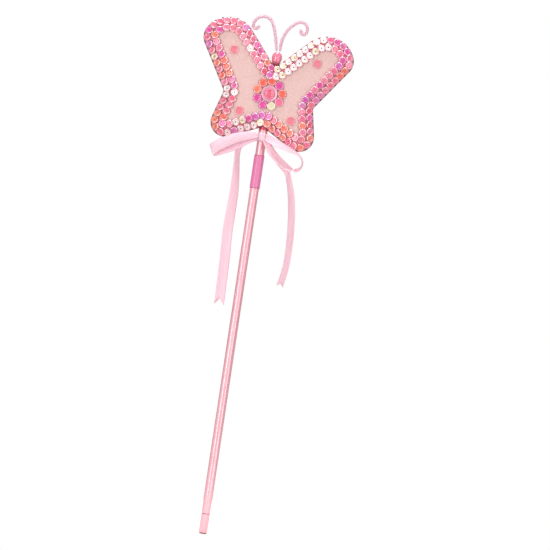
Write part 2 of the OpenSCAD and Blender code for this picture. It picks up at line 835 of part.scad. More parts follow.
module left_outer_sequins() {
    color([0.92, 0.3, 0.5])
    head()
    mirror([1, 0, 0])
    wing_row(outer_row, row_1);
}

module left_inner_sequins() {
    color([0.94, 0.45, 0.4])
    head()
    mirror([1, 0, 0])
    wing_row(inner_row, row_2);
}

module right_outer_sequins() {
    color([0.92, 0.3, 0.5])
    head()
    wing_row(outer_row, row_1);
}

module right_inner_sequins() {
    color([0.94, 0.45, 0.4])
    head()
    wing_row(inner_row, row_2);
}

module spot_pair() {
    for (p = [[upper_x - 6.2, upper_z - 4.2], [23.5, -6]]) {
        translate([p[0], -pad_h - seat, p[1]])
        rotate([90, 0, 0])
        cup(spot_d, 0.4);
    }
}

module left_spots() {
    color([0.93, 0.55, 0.68])
    head()
    mirror([1, 0, 0])
    spot_pair();
}

module right_spots() {
    color([0.93, 0.55, 0.68])
    head()
    spot_pair();
}

module flower_petals() {
    color([0.9, 0.35, 0.35])
    head()
    for (k = [0:petal_count - 1]) {
        a = 360 * k / petal_count + 10;
        translate([petal_ring * cos(a), -pad_h - seat, flower_z + petal_ring * sin(a)])
        rotate([90, 0, 0])
        cup(petal_d, 0.9);
    }
}

module flower_dish() {
    color([0.92, 0.7, 0.8])
    head()
    translate([0, -pad_h - seat, flower_z])
    rotate([90, 0, 0])
    cup(dish_d, 1.6);
}

module flower_button() {
    color([0.85, 0.2, 0.35])
    head()
    translate([0, -pad_h - seat - sequin_t - 0.15, flower_z])
    rotate([90, 0, 0])
    cup(button_d, 1.9);
}

module head_bead() {
    r = bead_d / 2;
    hole = wire_x + wire_d / 2 + wire_gap;
    above = bead_h * bead_round;
    below = bead_h - above;
    color([0.85, 0.25, 0.4])
    head()
    translate([0, 0, bead_z - bead_h / 2 + below])
    rotate_extrude()
    union() {
        bead_half(r, hole, above, 0);
        bead_half(r, hole, below, -below);
    }
}

// One bowed half of the bead's section, widest at z = 0
module bead_half(r, hole, h, low) {
    bow = (h * h + pow(r - hole, 2)) / (2 * (r - hole));
    intersection() {
        translate([r - bow, 0])
        circle(bow);
        translate([hole, low])
        square([bead_d, h]);
    }
}

module antenna_stem() {
    color([0.75, 0.75, 0.77])
    head()
    for (s = [-1, 1]) {
        translate([s * wire_x, 0, stem_low])
        cylinder(r = wire_d / 2, h = bend_z - bend_gap - stem_low);
    }
}

module left_antenna_wire() {
    color([0.75, 0.75, 0.77])
    head()
    antenna_wire(left_start, left_bare, left_arcs);
}

module left_antenna_pile() {
    color([0.9, 0.72, 0.8])
    head()
    bent_rod(left_foot, left_arcs, pile_d / 2, wire_d / 2 + 0.08, 7);
}

module right_antenna_wire() {
    color([0.75, 0.75, 0.77])
    head()
    antenna_wire(right_start, right_bare, right_arcs);
}

module right_antenna_pile() {
    color([0.9, 0.72, 0.8])
    head()
    bent_rod(right_foot, right_arcs, pile_d / 2, wire_d / 2 + 0.08, 7);
}

stick_tube();
end_cap();
label_wrap();
bow_wrap();
bow_knot();
bow_left_loop();
bow_right_loop();
left_tail_root();
right_tail_root();
left_tail();
right_tail();
centre_filling();
centre_front_panel();
centre_back_panel();
left_wing_filling();
left_wing_front_panel();
left_wing_back_panel();
right_wing_filling();
right_wing_front_panel();
right_wing_back_panel();
centre_sequins();
left_outer_sequins();
left_inner_sequins();
right_outer_sequins();
right_inner_sequins();
left_spots();
right_spots();
flower_petals();
flower_dish();
flower_button();
head_bead();
antenna_stem();
left_antenna_wire();
left_antenna_pile();
right_antenna_wire();
right_antenna_pile();
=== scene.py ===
import math
import random

import bmesh
import bpy
import numpy as np
from mathutils import Matrix, Vector, kdtree, noise


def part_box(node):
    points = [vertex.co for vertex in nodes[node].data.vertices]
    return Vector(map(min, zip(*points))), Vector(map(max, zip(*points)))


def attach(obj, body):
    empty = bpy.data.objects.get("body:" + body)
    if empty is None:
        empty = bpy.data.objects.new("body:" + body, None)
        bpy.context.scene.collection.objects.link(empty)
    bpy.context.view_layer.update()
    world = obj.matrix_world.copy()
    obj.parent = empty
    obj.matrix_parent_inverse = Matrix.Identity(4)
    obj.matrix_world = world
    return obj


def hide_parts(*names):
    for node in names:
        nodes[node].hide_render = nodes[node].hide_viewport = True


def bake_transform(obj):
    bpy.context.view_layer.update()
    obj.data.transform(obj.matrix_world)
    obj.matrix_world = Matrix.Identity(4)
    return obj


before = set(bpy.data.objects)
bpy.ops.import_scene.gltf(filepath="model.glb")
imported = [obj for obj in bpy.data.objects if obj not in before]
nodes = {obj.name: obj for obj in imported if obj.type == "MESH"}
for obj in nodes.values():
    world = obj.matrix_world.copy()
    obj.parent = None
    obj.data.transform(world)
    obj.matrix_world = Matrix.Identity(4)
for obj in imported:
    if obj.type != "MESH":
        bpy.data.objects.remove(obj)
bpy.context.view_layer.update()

mm = 0.001
front = Vector((0, -1, 0))
# height of the butterfly's middle on the stick, and its lean in degrees
head = {"z": 385, "lean": 3}
headMatrix = Matrix.Translation((0, 0, head["z"] * mm)) @ Matrix.Rotation(math.radians(head["lean"]), 4, "Y")
fromHead = headMatrix @ Matrix.Scale(mm, 4)
toHead = headMatrix.inverted()


def turnTo(x, y, z):
    # the turn that brings a piece's own axes to these
    return Matrix((x, y, z)).transposed().to_4x4()


# camera, floor and light

shot = {"roll": 8.54, "middle": (29.8, 239.1), "across": 495, "distance": 1700, "sensor": 36, "near": 10}
lamps = {
    "key": {"at": (-620, -900, 390), "size": (300, 1150), "watts": 5.6},
    "side": {"at": (700, -820, 360), "size": (220, 1150), "watts": 3.4},
    "front": {"at": (60, -1500, 420), "size": (600, 600), "watts": 1.6},
    "back": {"at": (100, 1000, 1300), "size": (600, 600), "watts": 15},
    "top": {"at": (0, -60, 1500), "size": (500, 500), "watts": 12},
}
studio = {"ambient": 0.46, "backdrop": 1.0, "aim": 300, "floorRadius": 240, "floorSides": 96, "floorGap": 0.4}


def setShot():
    roll = math.radians(shot["roll"])
    right = Vector((math.cos(roll), 0, math.sin(roll)))
    up = Vector((-math.sin(roll), 0, math.cos(roll)))
    middle = Vector((shot["middle"][0], 0, shot["middle"][1])) * mm
    data = bpy.data.cameras.new("shot")
    data.sensor_width = shot["sensor"]
    data.lens = shot["sensor"] * shot["distance"] / shot["across"]
    data.clip_start = shot["near"] * mm
    camera = bpy.data.objects.new("shot", data)
    bpy.context.scene.collection.objects.link(camera)
    place = Matrix.Translation(middle + front * shot["distance"] * mm)
    camera.matrix_world = place @ turnTo(right, up, front)
    bpy.context.scene.camera = camera


def setLamps():
    target = Vector((0, 0, studio["aim"])) * mm
    for name, lamp in lamps.items():
        data = bpy.data.lights.new(name, "AREA")
        data.energy = lamp["watts"]
        data.shape = "RECTANGLE"
        data.size, data.size_y = (side * mm for side in lamp["size"])
        obj = bpy.data.objects.new(name, data)
        bpy.context.scene.collection.objects.link(obj)
        obj.location = Vector(lamp["at"]) * mm
        obj.rotation_euler = (target - obj.location).to_track_quat("-Z", "Y").to_euler()
    world = bpy.data.worlds.new("studio")
    world.use_nodes = True
    tree = world.node_tree
    sky = tree.nodes["Background"]
    sky.inputs["Color"].default_value = (1, 1, 1, 1)
    seen = add(tree, "ShaderNodeLightPath").outputs["Is Camera Ray"]
    level = add(tree, "ShaderNodeMapRange", To_Min=studio["ambient"], To_Max=studio["backdrop"])
    tree.links.new(seen, level.inputs["Value"])
    tree.links.new(level.outputs["Result"], sky.inputs["Strength"])
    bpy.context.scene.world = world
    bpy.context.scene.view_settings.view_transform = "Standard"


# colours and nodes


def linear(red, green, blue):
    # screen colour of 0 to 255 to the shader's own scale
    def one(value):
        value = value / 255
        return value / 12.92 if value <= 0.04045 else ((value + 0.055) / 1.055) ** 2.4
    return (one(red), one(green), one(blue), 1)


def newMaterial(name):
    material = bpy.data.materials.new(name)
    material.use_nodes = True
    return material, material.node_tree, material.node_tree.nodes["Principled BSDF"]


def add(tree, kind, **values):
    node = tree.nodes.new(kind)
    for key, value in values.items():
        if hasattr(node, key):
            setattr(node, key, value)
        else:
            node.inputs[key.replace("_", " ")].default_value = value
    return node


def feed(tree, socket, value):
    # another node's output is linked, a plain value is set
    if isinstance(value, bpy.types.NodeSocket):
        tree.links.new(value, socket)
    else:
        socket.default_value = value


def finishShader(tree, shader, values):
    for name, value in values.items():
        feed(tree, shader.inputs[name], value)


def mixColour(tree, blendType, factor, first, second):
    node = add(tree, "ShaderNodeMix", data_type="RGBA", blend_type=blendType)
    # a Mix node's colour sockets come after those for numbers and vectors
    for index, value in ((0, factor), (6, first), (7, second)):
        feed(tree, node.inputs[index], value)
    return node.outputs[2]


def mathNode(tree, operation, first, second=0.0):
    node = add(tree, "ShaderNodeMath", operation=operation)
    feed(tree, node.inputs[0], first)
    feed(tree, node.inputs[1], second)
    return node.outputs[0]


def ramp(tree, value, low, high, toLow=0.0, toHigh=1.0):
    node = add(tree, "ShaderNodeMapRange", interpolation_type="SMOOTHSTEP")
    tree.links.new(value, node.inputs["Value"])
    for key, number in (("From Min", low), ("From Max", high), ("To Min", toLow), ("To Max", toHigh)):
        node.inputs[key].default_value = number
    return node.outputs["Result"]


def bump(tree, height, strength, distance):
    node = add(tree, "ShaderNodeBump", Strength=strength, Distance=distance)
    tree.links.new(height, node.inputs["Height"])
    return node.outputs["Normal"]


def newGroup(name, inputs, outputs):
    tree = bpy.data.node_groups.new(name, "ShaderNodeTree")
    for label, kind, value in inputs:
        socket = tree.interface.new_socket(label, in_out="INPUT", socket_type=kind)
        if value is not None:
            socket.default_value = value
    for label, kind in outputs:
        tree.interface.new_socket(label, in_out="OUTPUT", socket_type=kind)
    return tree, tree.nodes.new("NodeGroupInput"), tree.nodes.new("NodeGroupOutput")


def grainGroup():
    # fine uneven tone, 1 on average
    tree, given, out = newGroup(
        "fineGrain",
        [
            ("Vector", "NodeSocketVector", None),
            ("Scale", "NodeSocketFloat", 900.0),
            ("Amount", "NodeSocketFloat", 0.1),
        ],
        [("Tone", "NodeSocketFloat"), ("Height", "NodeSocketFloat")],
    )
    cloud = add(tree, "ShaderNodeTexNoise", Detail=3.0, Roughness=0.65)
    tree.links.new(given.outputs["Vector"], cloud.inputs["Vector"])
    tree.links.new(given.outputs["Scale"], cloud.inputs["Scale"])
    centred = mathNode(tree, "SUBTRACT", cloud.outputs["Fac"], 0.5)
    spread = mathNode(tree, "MULTIPLY", centred, given.outputs["Amount"])
    tree.links.new(mathNode(tree, "ADD", mathNode(tree, "MULTIPLY", spread, 2.0), 1.0), out.inputs["Tone"])
    tree.links.new(cloud.outputs["Fac"], out.inputs["Height"])
    return tree


def streakGroup():
    # noise drawn out along a piece
    tree, given, out = newGroup(
        "longStreaks",
        [
            ("Vector", "NodeSocketVector", None),
            ("Stretch", "NodeSocketVector", None),
            ("Detail", "NodeSocketFloat", 3.0),
            ("Roughness", "NodeSocketFloat", 0.5),
        ],
        [("Lines", "NodeSocketFloat")],
    )
    drawn = add(tree, "ShaderNodeMapping")
    tree.links.new(given.outputs["Vector"], drawn.inputs["Vector"])
    tree.links.new(given.outputs["Stretch"], drawn.inputs["Scale"])
    lines = add(tree, "ShaderNodeTexNoise", Scale=1.0)
    tree.links.new(drawn.outputs["Vector"], lines.inputs["Vector"])
    tree.links.new(given.outputs["Detail"], lines.inputs["Detail"])
    tree.links.new(given.outputs["Roughness"], lines.inputs["Roughness"])
    tree.links.new(lines.outputs["Fac"], out.inputs["Lines"])
    return tree


def weaveGroup():
    # two sets of threads at right angles, one over the other
    tree, given, out = newGroup(
        "wovenThreads",
        [
            ("Along", "NodeSocketFloat", 0.0),
            ("Across", "NodeSocketFloat", 0.0),
            ("Threads", "NodeSocketFloat", 3000.0),
        ],
        [("Height", "NodeSocketFloat")],
    )
    turn = mathNode(tree, "MULTIPLY", given.outputs["Threads"], math.tau)
    warp = mathNode(tree, "SINE", mathNode(tree, "MULTIPLY", given.outputs["Along"], turn))
    weft = mathNode(tree, "SINE", mathNode(tree, "MULTIPLY", given.outputs["Across"], turn))
    tree.links.new(mathNode(tree, "MAXIMUM", warp, weft), out.inputs["Height"])
    return tree


def place(tree, group, **values):
    node = tree.nodes.new("ShaderNodeGroup")
    node.node_tree = group
    for key, value in values.items():
        feed(tree, node.inputs[key], value)
    return node


fineGrain = grainGroup()
longStreaks = streakGroup()
wovenThreads = weaveGroup()


def objectPoint(tree):
    return tree.nodes.new("ShaderNodeTexCoord").outputs["Object"]


def attribute(tree, name, socket="Fac"):
    return add(tree, "ShaderNodeAttribute", attribute_name=name).outputs[socket]


def axesOf(tree, vector):
    split = add(tree, "ShaderNodeSeparateXYZ")
    tree.links.new(vector, split.inputs["Vector"])
    return split.outputs


def toned(tree, base, grain):
    return mixColour(tree, "MULTIPLY", 1.0, base, grain.outputs["Tone"])


# materials

stick = {
    "light": linear(255, 216, 220), "dark": linear(240, 178, 190),
    "coat": linear(255, 228, 231), "edge": linear(206, 104, 120),
    # painted shade and red reflection: from here up the stick is painted crimson, where it lies under the
    # butterfly
    "shade": linear(196, 62, 84), "shadeFrom": 364.5, "shadeFade": 3,
    # radius out to which the stem in the gap between the tube and its cap is painted dark brown, as painted
    # shade in that recess
    "paintedGrooveShade": linear(120, 58, 52), "grooveTo": 3.6, "grooveFade": 0.2,
}
label = {"colour": linear(226, 122, 170), "worn": linear(196, 86, 136), "darkEdgeWidth": 1.2}
# the edge tone is painted shade along the ribbon's edges
satinTones = {"dark": linear(247, 194, 210), "light": linear(253, 214, 224), "edge": linear(236, 158, 184)}
# how far in from the sewn edge the cloth's darker bands fade, in millimetres; the edge band is the seam's
# tone with painted shade, the band under the rows its pink ground with painted shade
fabric = {"edgeFade": (0.4, 1.3), "rowFade": (11.6, 13.2)}
# painted shade: the bead is painted darker up to this share of its height, for the shade under it in the
# notch
bead = {"low": linear(140, 24, 44), "high": linear(240, 124, 152), "shade": 0.42}


def pearlPlastic(name, shaded=False, grooved=False):
    # glossy pearl plastic with long soft streaks under a rosy clear coat
    material, tree, shader = newMaterial(name)
    point = objectPoint(tree)
    axes = axesOf(tree, point)
    streaks = place(tree, longStreaks, Vector=point, Stretch=(520, 520, 9), Detail=4.0, Roughness=0.6)
    lines = streaks.outputs["Lines"]
    grain = place(tree, fineGrain, Vector=point, Scale=700.0, Amount=0.05)
    base = mixColour(tree, "MIX", ramp(tree, lines, 0.3, 0.7), stick["dark"], stick["light"])
    # painted shade and red reflection under the butterfly, mixed in as crimson
    if shaded:
        start = stick["shadeFrom"] * mm
        shade = ramp(tree, axes["Z"], start, start + stick["shadeFade"] * mm)
        base = mixColour(tree, "MIX", shade, base, stick["shade"])
    if grooved:
        # painted shade: the stem in the gap under the tube is painted dark brown
        level = add(tree, "ShaderNodeCombineXYZ")
        tree.links.new(axes["X"], level.inputs["X"])
        tree.links.new(axes["Y"], level.inputs["Y"])
        reach = add(tree, "ShaderNodeVectorMath", operation="LENGTH")
        tree.links.new(level.outputs["Vector"], reach.inputs["Vector"])
        end = stick["grooveTo"] * mm
        paintedGrooveShade = ramp(tree, reach.outputs["Value"], end - stick["grooveFade"] * mm, end, 1.0, 0.0)
        base = mixColour(tree, "MIX", paintedGrooveShade, base, stick["paintedGrooveShade"])
    finishShader(tree, shader, {
        "Base Color": toned(tree, base, grain),
        "Roughness": ramp(tree, lines, 0.2, 0.8, 0.26, 0.38),
        "Normal": bump(tree, lines, 0.06, 0.0004),
        "Metallic": 0.5, "Specular Tint": stick["edge"],
        "Coat Weight": 0.8, "Coat Roughness": 0.2, "Coat Tint": stick["coat"],
    })
    return material


def labelFilm():
    material, tree, shader = newMaterial("labelFilm")
    point = objectPoint(tree)
    grain = place(tree, fineGrain, Vector=point, Scale=350.0, Amount=0.06)
    low, high = (c.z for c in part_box("label_wrap"))
    middle, half = (low + high) / 2, (high - low) / 2
    edge = mathNode(tree, "ABSOLUTE", mathNode(tree, "SUBTRACT", axesOf(tree, point)["Z"], middle))
    # darker towards its top and bottom edges
    worn = ramp(tree, edge, half - label["darkEdgeWidth"] * mm, half)
    base = mixColour(tree, "MIX", worn, label["colour"], label["worn"])
    finishShader(tree, shader, {
        "Base Color": toned(tree, base, grain),
        "Roughness": ramp(tree, grain.outputs["Height"], 0.3, 0.7, 0.3, 0.42),
        "Normal": bump(tree, grain.outputs["Height"], 0.08, 0.0004),
        "Coat Weight": 0.35,
    })
    return material


def satinRibbon():
    material, tree, shader = newMaterial("satinRibbon")
    uv = add(tree, "ShaderNodeUVMap", uv_map="cut").outputs["UV"]
    axes = axesOf(tree, uv)
    threads = place(tree, wovenThreads, Along=axes["X"], Across=axes["Y"], Threads=3200.0)
    streaks = place(tree, longStreaks, Vector=uv, Stretch=(1500, 60, 1), Detail=3.0, Roughness=0.5)
    lines = streaks.outputs["Lines"]
    edge = ramp(tree, attribute(tree, "edge"), 0.8, 0.98)
    cloud = place(tree, fineGrain, Vector=uv, Scale=38.0, Amount=0.07)
    base = mixColour(tree, "MIX", ramp(tree, lines, 0.25, 0.75), satinTones["dark"], satinTones["light"])
    # painted shade: darker pink towards the ribbon's edges
    base = mixColour(tree, "MIX", mathNode(tree, "MULTIPLY", edge, 0.3), base, satinTones["edge"])
    height = mathNode(tree, "ADD", mathNode(tree, "MULTIPLY", threads.outputs["Height"], 0.35), lines)
    finishShader(tree, shader, {
        "Base Color": toned(tree, base, cloud),
        "Normal": bump(tree, mathNode(tree, "ADD", height, edge), 0.18, 0.0002),
        "Roughness": ramp(tree, lines, 0.2, 0.8, 0.34, 0.46),
        "Sheen Weight": 0.35, "Sheen Roughness": 0.35, "Anisotropic": 0.5,
        "Subsurface Weight": 0.12, "Subsurface Scale": 0.001,
    })
    return material


def paddedFabric(name, colour, shade, rowGroundAndShade=None):
    # fine woven cloth, darker at the sewn edge and under the sequin rows, with painted shade in both
    material, tree, shader = newMaterial(name)
    point = objectPoint(tree)
    axes = axesOf(tree, point)
    threads = place(tree, wovenThreads, Along=axes["X"], Across=axes["Z"], Threads=2600.0)
    grain = place(tree, fineGrain, Vector=point, Scale=760.0, Amount=0.26)
    patch = place(tree, fineGrain, Vector=point, Scale=60.0, Amount=0.05)
    inset = attribute(tree, "inset")
    base = colour
    # the pink ground under the sequin rows, darkened as painted shade between the sequins
    if rowGroundAndShade:
        base = mixColour(tree, "MIX", ramp(tree, inset, *fabric["rowFade"], 1.0, 0.0), base, rowGroundAndShade)
    # painted shade along the sewn edge, over the seam's own darker tone
    base = mixColour(tree, "MIX", ramp(tree, inset, *fabric["edgeFade"], 1.0, 0.0), base, shade)
    relief = mathNode(tree, "MULTIPLY", threads.outputs["Height"], 0.4)
    height = mathNode(tree, "ADD", relief, grain.outputs["Height"])
    finishShader(tree, shader, {
        "Base Color": toned(tree, toned(tree, base, grain), patch),
        "Normal": bump(tree, height, 0.22, 0.0003),
        "Roughness": ramp(tree, grain.outputs["Height"], 0.3, 0.7, 0.5, 0.66),
        "Sheen Weight": 0.3, "Sheen Roughness": 0.4,
    })
    return material


def sequinFilm(name, roughness, metallic, amount=0.12):
    # glossy film, tinted for each sequin
    material, tree, shader = newMaterial(name)
    grain = place(tree, fineGrain, Vector=objectPoint(tree), Scale=420.0, Amount=amount)
    finishShader(tree, shader, {
        "Base Color": toned(tree, attribute(tree, "tint", "Color"), grain),
        "Roughness": ramp(tree, grain.outputs["Height"], 0.3, 0.7, roughness, roughness + 0.1),
        "Normal": bump(tree, grain.outputs["Height"], 0.05, 0.0003),
        "Metallic": metallic, "Coat Weight": 0.4, "Coat Roughness": 0.06,
    })
    return material


def beadGloss():
    material, tree, shader = newMaterial("beadGloss")
    point = objectPoint(tree)
    grain = place(tree, fineGrain, Vector=point, Scale=260.0, Amount=0.12)
    low, high = (c.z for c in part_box("head_bead"))
    # painted shade: darker towards the bottom
    paintedShadeRamp = ramp(tree, axesOf(tree, point)["Z"], low, low + bead["shade"] * (high - low))
    base = mixColour(tree, "MIX", paintedShadeRamp, bead["low"], bead["high"])
    finishShader(tree, shader, {
        "Base Color": toned(tree, base, grain),
        "Roughness": ramp(tree, grain.outputs["Height"], 0.3, 0.7, 0.06, 0.12),
        "Specular IOR Level": 0.8, "Coat Weight": 1.0, "Coat Roughness": 0.03,
    })
    return material


def bareWire():
    material, tree, shader = newMaterial("bareWire")
    grain = place(tree, fineGrain, Vector=objectPoint(tree), Scale=2500.0, Amount=0.15)
    finishShader(tree, shader, {
        "Base Color": toned(tree, linear(212, 186, 196), grain),
        "Roughness": ramp(tree, grain.outputs["Height"], 0.2, 0.8, 0.25, 0.45),
        "Metallic": 0.8,
    })
    return material


def fuzzyPile():
    material, tree, shader = newMaterial("fuzzyPile")
    point = objectPoint(tree)
    grain = place(tree, fineGrain, Vector=point, Scale=1400.0, Amount=0.35)
    glint = add(tree, "ShaderNodeTexVoronoi", Scale=1500.0)
    tree.links.new(point, glint.inputs["Vector"])
    spark = ramp(tree, glint.outputs["Distance"], 0.1, 0.3, 1.0, 0.0)
    base = toned(tree, linear(234, 194, 208), grain)
    shine = mathNode(tree, "MULTIPLY", spark, 0.6)
    finishShader(tree, shader, {
        "Base Color": mixColour(tree, "MIX", shine, base, linear(255, 232, 242)),
        "Roughness": ramp(tree, spark, 0.0, 1.0, 0.7, 0.25),
        "Sheen Weight": 0.4,
    })
    return material


def seamThread():
    material, tree, shader = newMaterial("seamThread")
    grain = place(tree, fineGrain, Vector=objectPoint(tree), Scale=1300.0, Amount=0.3)
    finishShader(tree, shader, {
        "Base Color": toned(tree, linear(150, 84, 92), grain),
        "Normal": bump(tree, grain.outputs["Height"], 0.5, 0.0004),
        "Roughness": ramp(tree, grain.outputs["Height"], 0.2, 0.8, 0.7, 0.9),
    })
    return material


def floorPaint():
    material, tree, shader = newMaterial("floorPaint")
    grain = place(tree, fineGrain, Vector=objectPoint(tree), Scale=3.0, Amount=0.01)
    finishShader(tree, shader, {
        "Base Color": toned(tree, (0.93, 0.925, 0.92, 1), grain),
        "Roughness": 0.9,
    })
    return material


# pieces


def newObject(name, bm, *materials):
    mesh = bpy.data.meshes.new(name)
    bm.to_mesh(mesh)
    bm.free()
    return newPiece(name, mesh, *materials)


def newPiece(name, mesh, *materials):
    obj = bpy.data.objects.new(name, mesh)
    bpy.context.scene.collection.objects.link(obj)
    for material in materials:
        mesh.materials.append(material)
    return obj


def smooth(obj):
    for face in obj.data.polygons:
        face.use_smooth = True


def finalMesh(obj):
    # the mesh with its modifiers applied
    graph = bpy.context.evaluated_depsgraph_get()
    return bpy.data.meshes.new_from_object(obj.evaluated_get(graph))


def dress(name, material):
    obj = nodes[name]
    obj.data.materials.clear()
    obj.data.materials.append(material)


def makeFloor():
    bm = bmesh.new()
    radius = studio["floorRadius"] * mm
    bmesh.ops.create_circle(bm, cap_ends=True, segments=studio["floorSides"], radius=radius)
    bmesh.ops.translate(bm, verts=bm.verts, vec=(0, 0, -studio["floorGap"] * mm))
    newObject("floor", bm, floorPaint())


# butterfly outline: circles joined by tangents, in the butterfly's own millimetres

butterfly = {
    "topNotch": 40, "bottomNotch": -16, "notchRound": 4,
    "upperLobe": (45, 51, 24.5), "tipRound": 13.5, "tipTurn": 25,
    "sideNotch": (41, 8.5), "lowerLobe": (34, -18.2, 13),
    "hinge": 15, "flex": 6,
}
padding = {
    "seam": 0.6, "height": 5.4, "depth": 14, "fullness": 1.6, "voxel": 0.8, "slab": 2.0, "relax": 0.3,
    "pucker": 1.1, "puckerLength": 5, "puckerStart": 2, "puckerRate": 0.3, "puckerSeed": 30,
    "ripple": 0.3, "rippleRate": 0.132, "rippleSeed": 4.2,
    # the front is held flatter by its sequins
    "frontPucker": 0.55, "frontRipple": 0.09,
    "backCrown": 0.8, "crownFrom": 5, "crownWidth": 18,
    "crease": 0.9, "creaseWidth": 1.5, "creaseStart": 4,
    # middle, half width and height of the bulge over the stick, and over the wires above mouthBelow
    "mouth": (0.84, 6.5, 5.4), "wireMouth": (0, 4.2, 1.5), "mouthBelow": 8,
    # a face that leans further back than this is the back cloth's
    "backLean": 0.05,
}


def tangentTurn(p, q):
    run = Vector((q[0] - p[0], q[1] - p[1]))
    return math.atan2(run.y, run.x) + math.acos((p[2] - q[2]) / run.length)


def outlineArcs():
    b = butterfly
    rounding = b["notchRound"]
    top = (0, b["topNotch"] + rounding, -rounding)
    upper = b["upperLobe"]
    turn = math.radians(b["tipTurn"])
    reach = upper[2] - b["tipRound"]
    tip = (upper[0] + reach * math.cos(turn), upper[1] + reach * math.sin(turn), b["tipRound"])
    side = (b["sideNotch"][0] + rounding, b["sideNotch"][1], -rounding)
    lower = b["lowerLobe"]
    bottom = (0, b["bottomNotch"] - rounding, -rounding)
    aTop, aOut = tangentTurn(top, upper), tangentTurn(tip, side)
    aIn, aLow = tangentTurn(side, lower), tangentTurn(lower, bottom)
    return [
        (top, math.pi / 2, aTop), (upper, aTop, turn), (tip, turn, aOut),
        (side, aOut, aIn), (lower, aIn, aLow), (bottom, aLow, -math.pi / 2),
    ]


def drawOutline(step=0.35):
    # one closed loop of short edges in the XZ plane, millimetres
    bm = bmesh.new()
    last = None
    for (x, z, radius), start, end in outlineArcs():
        first = bm.verts.new((x + radius * math.cos(start), 0, z + radius * math.sin(start)))
        if last:
            bm.edges.new((last, first))
        steps = max(4, int(abs(radius * (end - start)) / step))
        spun = bmesh.ops.spin(
            bm, geom=[first], cent=(x, 0, z), axis=(0, 1, 0), angle=start - end, steps=steps,
        )
        last = next(v for v in spun["geom_last"] if isinstance(v, bmesh.types.BMVert))
    half = bm.verts[:] + bm.edges[:]
    bmesh.ops.mirror(bm, geom=half, axis="X", merge_dist=1e-4)
    bmesh.ops.remove_doubles(bm, verts=bm.verts, dist=1e-4)
    while lines := [edge for edge in bm.edges if edge.calc_length() > 2 * step]:
        bmesh.ops.subdivide_edges(bm, edges=lines, cuts=1)
    return bm


edgeLine = drawOutline()
edgeTree = kdtree.KDTree(len(edgeLine.verts))
for index, vert in enumerate(edgeLine.verts):
    edgeTree.insert(vert.co, index)
edgeTree.balance()


def edgeAt(x, z):
    # distance from the sewn edge in millimetres, and the way out to it
    near, _, distance = edgeTree.find((x, 0, z))
    out = Vector((near.x - x, 0, near.z - z))
    return distance, out.normalized() if distance > 1e-6 else out


def swell(x, z, side):
    # half thickness of the padding in millimetres, side is -1 at the front and 1 at the back
    p = padding
    inset, out = edgeAt(x, z)
    rise = 1 - (1 - min(inset, p["depth"]) / p["depth"]) ** p["fullness"]
    height = p["seam"] + (p["height"] - p["seam"]) * rise
    # short puckers run in from the stitches
    fade = math.exp(-inset / p["puckerLength"]) * min(1, inset / p["puckerStart"])
    stitch = Vector((x + out.x * inset, side * p["puckerSeed"], z + out.z * inset)) * p["puckerRate"]
    height += p["pucker" if side > 0 else "frontPucker"] * fade * noise.noise(stitch)
    mark = Vector((x * p["rippleRate"], side * p["rippleSeed"], z * p["rippleRate"]))
    height += p["ripple" if side > 0 else "frontRipple"] * rise * noise.noise(mark)
    if side > 0:
        crown = max(0, min(1, (inset - p["crownFrom"]) / p["crownWidth"]))
        height += p["backCrown"] * crown * crown * (3 - 2 * crown)
        # the sewn flex lines draw the back cloth in
        off = (abs(x) - butterfly["hinge"]) / p["creaseWidth"]
        height -= p["crease"] * min(1, inset / p["creaseStart"]) * math.exp(-off * off)
    middle, width, lift = p["mouth" if z < p["mouthBelow"] else "wireMouth"]
    bulge = max(0, 1 - ((x - middle) / width) ** 2) ** 0.5
    return max(height, lift * bulge)


